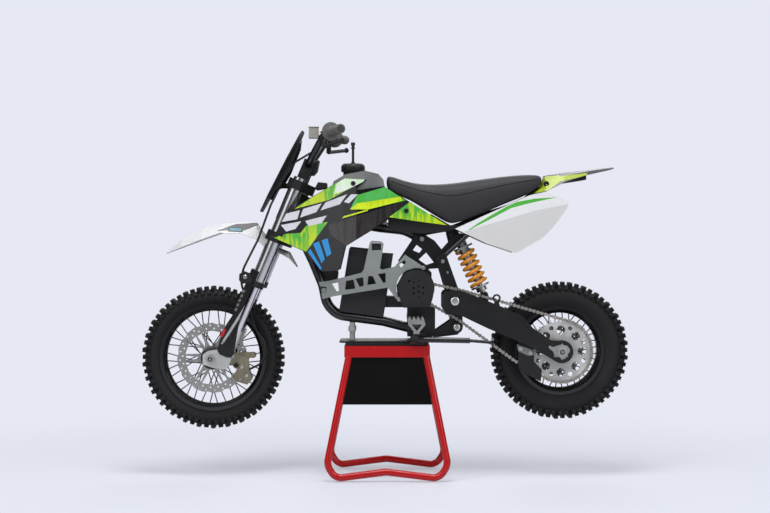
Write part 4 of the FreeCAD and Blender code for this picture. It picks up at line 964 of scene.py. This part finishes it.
BLUE_BARS = (((-222, 730), (-204, 738), (-186, 684), (-196, 670)),
             ((-196, 741), (-178, 747), (-166, 700), (-180, 690)),
             ((-238, 706), (-230, 714), (-196, 656), (-200, 650)))
DARK_AREA = (((-176, 788), (57, 862), (77, 860), (13, 813), (-60, 762), (-120, 724), (-169, 758)),)
SWOOSH = (((259, 773), (288, 794), (290, 789), (264, 773)),
          ((288, 794), (333, 821), (342, 815), (290, 788)),
          ((333, 821), (373, 844), (391, 841), (342, 815)),
          ((373, 844), (408, 860), (435, 853), (391, 841)),
          ((408, 860), (462, 870), (484, 864), (435, 853)), ((462, 870), (535, 875), (484, 864)))
GUARD_GREY = (((-415, 571), (-409, 571), (-447, 504), (-453, 509)),
              ((-453, 509), (-447, 504), (-480, 452), (-487, 456)),
              ((-487, 456), (-480, 452), (-503, 419), (-509, 421)))
GUARD_HATCH = (((-442, 589), (-432, 587), (-436, 578), (-446, 580)),
               ((-448, 575), (-438, 573), (-442, 564), (-452, 566)),
               ((-454, 561), (-444, 559), (-448, 550), (-458, 552)),
               ((-460, 547), (-450, 545), (-454, 536), (-464, 538)),
               ((-466, 533), (-456, 531), (-460, 522), (-470, 524)))
GUARD_RED = (((-504, 464), (-494, 462), (-499, 448), (-510, 450)),)
LABEL_EDGE = (((-489, 785), (-444, 783), (-445, 766), (-490, 768)),)
LABEL_FACE = (((-485, 781), (-449, 779), (-450, 770), (-486, 772)),)
SKID_POST = (((-122, 484), (-88, 484), (-88, 429), (-122, 429)),)
TAIL_TIP = (((636, 962), (760, 985), (760, 950), (636, 944)),)
PANEL_SHADE = (((237, 773), (299, 797), (379, 816), (460, 832), (507, 846), (579, 861), (507, 761),
                (403, 700), (270, 751)),)
TAIL_FLASH = (((455, 886), (490, 940), (547, 945), (547, 925), (509, 897)),
              ((490, 935), (631, 951), (631, 944), (547, 925)))
FENDER_TOP = (((-526, 771), (-469, 792), (-398, 797), (-400, 788), (-439, 772)),)


def flat(tint, shapes):
    return [(p, tint, tint) for p in shapes]


def faded(first, second, shapes):
    return [(p, first, second) for p in shapes]


def graphics():
    c = colours()
    green, lime = tuple(c.green), tuple(c.lime)
    paint_shapes("shroud_skin", faded((0.018, 0.016, 0.016), (0.036, 0.031, 0.030), DARK_AREA)
                 + faded(green, lime, GREEN_STRIPE) + faded((0.085, 0.46, 0.10), green, GREEN_PLAIN)
                 + faded(lime, (0.62, 0.78, 0.02), LIME_STRIPE)
                 + faded((0.62, 0.80, 0.50), (0.74, 0.78, 0.72), PALE_FADE)
                 + flat((0.62, 0.63, 0.66), SPEED_BLOCKS) + flat(tuple(c.blue), BLUE_BARS))
    paint_shapes("panel_skin", flat((0.60, 0.595, 0.59), PANEL_SHADE) + flat(green, SWOOSH))
    paint_shapes("tail_skin", flat((0.02, 0.021, 0.02), TAIL_TIP)
                 + flat([0.62 * v for v in lime], TAIL_FLASH))
    paint_shapes("guard_skin", flat((0.36, 0.36, 0.36), GUARD_GREY) + flat((0.13, 0.13, 0.13), GUARD_HATCH)
                 + flat((0.65, 0.01, 0.015), GUARD_RED), flanks=True)
    paint_shapes("fender_skin", flat((0.10, 0.10, 0.105), FENDER_TOP)
                 + flat((0.02, 0.02, 0.02), LABEL_EDGE) + flat((0.06, 0.22, 0.28), LABEL_FACE))
    paint_shapes("skid_paint", flat((0.33, 0.33, 0.33), SKID_POST))


# Stage

EYE = (0, -5.467, 0.742)
AIM = Vector((0, 0, 0.6))
# soft boxes: name, place, size, watts
SOFT_BOXES = (("key_light", (-2.2, -3.2, 3.2), 2.2, 66), ("fill_light", (2.8, -3.0, 2.4), 2.2, 36),
              ("top_light", (0.0, -0.9, 3.4), 1.5, 62), ("back_light", (0.5, 3.2, 2.4), 2.4, 38))


def mix_shaders(tree, factor, first, second):
    n = tree.nodes.new("ShaderNodeMixShader")
    for socket, value in zip(n.inputs, (factor, first, second)):
        feed(tree, socket, value)
    return n.outputs["Shader"]


def lay_floor(backdrop):
    """The camera sees mostly the backdrop's own colour on it, and a share of the shadow"""
    bm = bmesh.new()
    bm.faces.new([bm.verts.new(p) for p in ((-40, -12, 0), (40, -12, 0), (40, 60, 0), (-40, 60, 0))])
    mesh = bpy.data.meshes.new("floor")
    bm.to_mesh(mesh)
    bm.free()
    floor = link_object("floor", mesh)
    mat = bpy.data.materials.new("floor_paint")
    mat.use_nodes = True
    tree = mat.node_tree
    shader = tree.nodes["Principled BSDF"]
    shader.inputs["Base Color"].default_value = tuple(0.84 * v for v in backdrop) + (1,)
    shader.inputs["Roughness"].default_value = 0.9
    glow = add(tree, "ShaderNodeEmission", Strength=1.0, Color=backdrop + (1,))
    # the shadow's share of the floor fades out round the bike, so no edge shows against the backdrop
    away = tree.nodes.new("ShaderNodeVectorMath")
    away.operation = "LENGTH"
    feed(tree, away.inputs[0], coordinates(tree))
    share = map_range(tree, away.outputs["Value"], (0.5, 2.2), (0.30, 1.0), "SMOOTHSTEP")
    seen = tree.nodes.new("ShaderNodeLightPath").outputs["Is Camera Ray"]
    part = maths(tree, "MULTIPLY", seen, share)
    surface = mix_shaders(tree, part, shader.outputs["BSDF"], glow.outputs["Emission"])
    feed(tree, tree.nodes["Material Output"].inputs["Surface"], surface)
    mesh.materials.append(mat)


def light_world(backdrop):
    """Even for soft light, and for shiny parts a bright ceiling, two upright soft boxes and dark between"""
    world = bpy.data.worlds.new("studio")
    bpy.context.scene.world = world
    world.use_nodes = True
    tree = world.node_tree
    light = tree.nodes["Background"]
    light.inputs["Color"].default_value = (0.94, 0.96, 1.0, 1)
    apart = components(tree, coordinates(tree, "Generated"))
    aside = maths(tree, "ABSOLUTE", apart["X"])
    boxes = maths(tree, "MULTIPLY", map_range(tree, aside, (0.30, 0.42), (0.0, 1.0), "SMOOTHSTEP"),
                  map_range(tree, aside, (0.66, 0.80), (1.0, 0.0), "SMOOTHSTEP"))
    ceiling = map_range(tree, apart["Z"], (0.35, 0.75), (0.0, 0.8), "SMOOTHSTEP")
    shiny = map_range(tree, maths(tree, "MAXIMUM", boxes, ceiling), (0.0, 1.0), (0.06, 1.15), "SMOOTHSTEP")
    path = tree.nodes.new("ShaderNodeLightPath").outputs
    level = tree.nodes.new("ShaderNodeMix")
    for socket, value in zip(level.inputs[0:1] + level.inputs[2:4], (path["Is Glossy Ray"], 0.40, shiny)):
        feed(tree, socket, value)
    feed(tree, light.inputs["Strength"], level.outputs[0])
    seen = add(tree, "ShaderNodeBackground", Strength=1.0, Color=backdrop + (1,))
    direct = maths(tree, "MAXIMUM", path["Is Camera Ray"], path["Is Transmission Ray"])
    surface = mix_shaders(tree, direct, light.outputs["Background"], seen.outputs["Background"])
    feed(tree, tree.nodes["World Output"].inputs["Surface"], surface)


def place_lamps():
    for name, place, size, watts in SOFT_BOXES:
        lamp = bpy.data.lights.new(name, "AREA")
        lamp.shape = "DISK"
        lamp.size = size
        lamp.energy = watts
        obj = link_object(name, lamp)
        obj.location = place
        obj.rotation_euler = (AIM - Vector(place)).to_track_quat("-Z", "Y").to_euler()


def place_camera():
    cam = bpy.data.cameras.new("photo_camera")
    cam.lens = 80.88
    cam.sensor_width = 36
    cam.shift_y = -0.0214
    obj = link_object("photo_camera", cam)
    obj.location = EYE
    obj.rotation_euler = (math.radians(90), 0, 0)
    bpy.context.scene.camera = obj
    bpy.context.scene.view_settings.view_transform = "Standard"


def stage():
    backdrop = tuple(colours().backdrop)
    lay_floor(backdrop)
    light_world(backdrop)
    place_lamps()
    place_camera()


# Operators

class BIKE_OT_finishes(bpy.types.Operator):
    """Make the finishes and give one to every CAD piece"""

    bl_idname = "dirtbike.finishes"
    bl_label = "Finishes"

    def execute(self, context):
        make_finishes()
        dress_nodes()
        graphics()
        return {"FINISHED"}


class BIKE_OT_tyres(bpy.types.Operator):
    """Knobbly tyres"""

    bl_idname = "dirtbike.tyres"
    bl_label = "Tyres"

    def execute(self, context):
        knobbly_tyre("front", sizes().front_tread_r, 0.168, 0.0338, 30, 3)
        knobbly_tyre("rear", sizes().rear_tread_r, 0.140, 0.0408, 29, 7)
        return {"FINISHED"}


class BIKE_OT_chain(bpy.types.Operator):
    """Drive chain, link by link"""

    bl_idname = "dirtbike.chain"
    bl_label = "Chain"

    def execute(self, context):
        drive_chain()
        return {"FINISHED"}


class BIKE_OT_seat(bpy.types.Operator):
    """Padded seat"""

    bl_idname = "dirtbike.seat"
    bl_label = "Seat"

    def execute(self, context):
        padded_seat()
        return {"FINISHED"}


class BIKE_OT_controls(bpy.types.Operator):
    """Grips, display box and the levers' small parts"""

    bl_idname = "dirtbike.controls"
    bl_label = "Controls"

    def execute(self, context):
        ribbed_grips()
        handlebar_controls()
        display_box()
        return {"FINISHED"}


class BIKE_OT_fastenings(bpy.types.Operator):
    """Bolts and nuts"""

    bl_idname = "dirtbike.fastenings"
    bl_label = "Fastenings"

    def execute(self, context):
        fastenings()
        return {"FINISHED"}


class BIKE_OT_trim(bpy.types.Operator):
    """Cap, axle blocks, screws, seals and other trim"""

    bl_idname = "dirtbike.trim"
    bl_label = "Trim"

    def execute(self, context):
        small_trim()
        return {"FINISHED"}


class BIKE_OT_stage(bpy.types.Operator):
    """Floor, soft light and camera"""

    bl_idname = "dirtbike.stage"
    bl_label = "Stage"

    def execute(self, context):
        stage()
        return {"FINISHED"}


class BIKE_PT_panel(bpy.types.Panel):
    """Lists the dressing's steps"""

    bl_label = "Dirt bike"
    bl_idname = "BIKE_PT_panel"
    bl_space_type = "VIEW_3D"
    bl_region_type = "UI"
    bl_category = "Dirt bike"

    def draw(self, context):
        for step in STEPS:
            self.layout.operator(step.bl_idname)
        for group in (context.scene.bike_sizes, context.scene.bike_colours):
            for key in group.bl_rna.properties.keys():
                if key not in ("rna_type", "name"):
                    self.layout.prop(group, key)


STEPS = (BIKE_OT_finishes, BIKE_OT_tyres, BIKE_OT_chain, BIKE_OT_seat, BIKE_OT_controls, BIKE_OT_fastenings,
         BIKE_OT_trim, BIKE_OT_stage)
CLASSES = (BikeSizes, BikeColours) + STEPS + (BIKE_PT_panel,)


def register():
    for cls in CLASSES:
        bpy.utils.register_class(cls)
    bpy.types.Scene.bike_sizes = bpy.props.PointerProperty(type=BikeSizes)
    bpy.types.Scene.bike_colours = bpy.props.PointerProperty(type=BikeColours)


def unregister():
    del bpy.types.Scene.bike_sizes
    del bpy.types.Scene.bike_colours
    for cls in reversed(CLASSES):
        bpy.utils.unregister_class(cls)


def main():
    register()
    for step in STEPS:
        group, name = step.bl_idname.split(".")
        getattr(getattr(bpy.ops, group), name)()


if __name__ == "__main__":
    main()
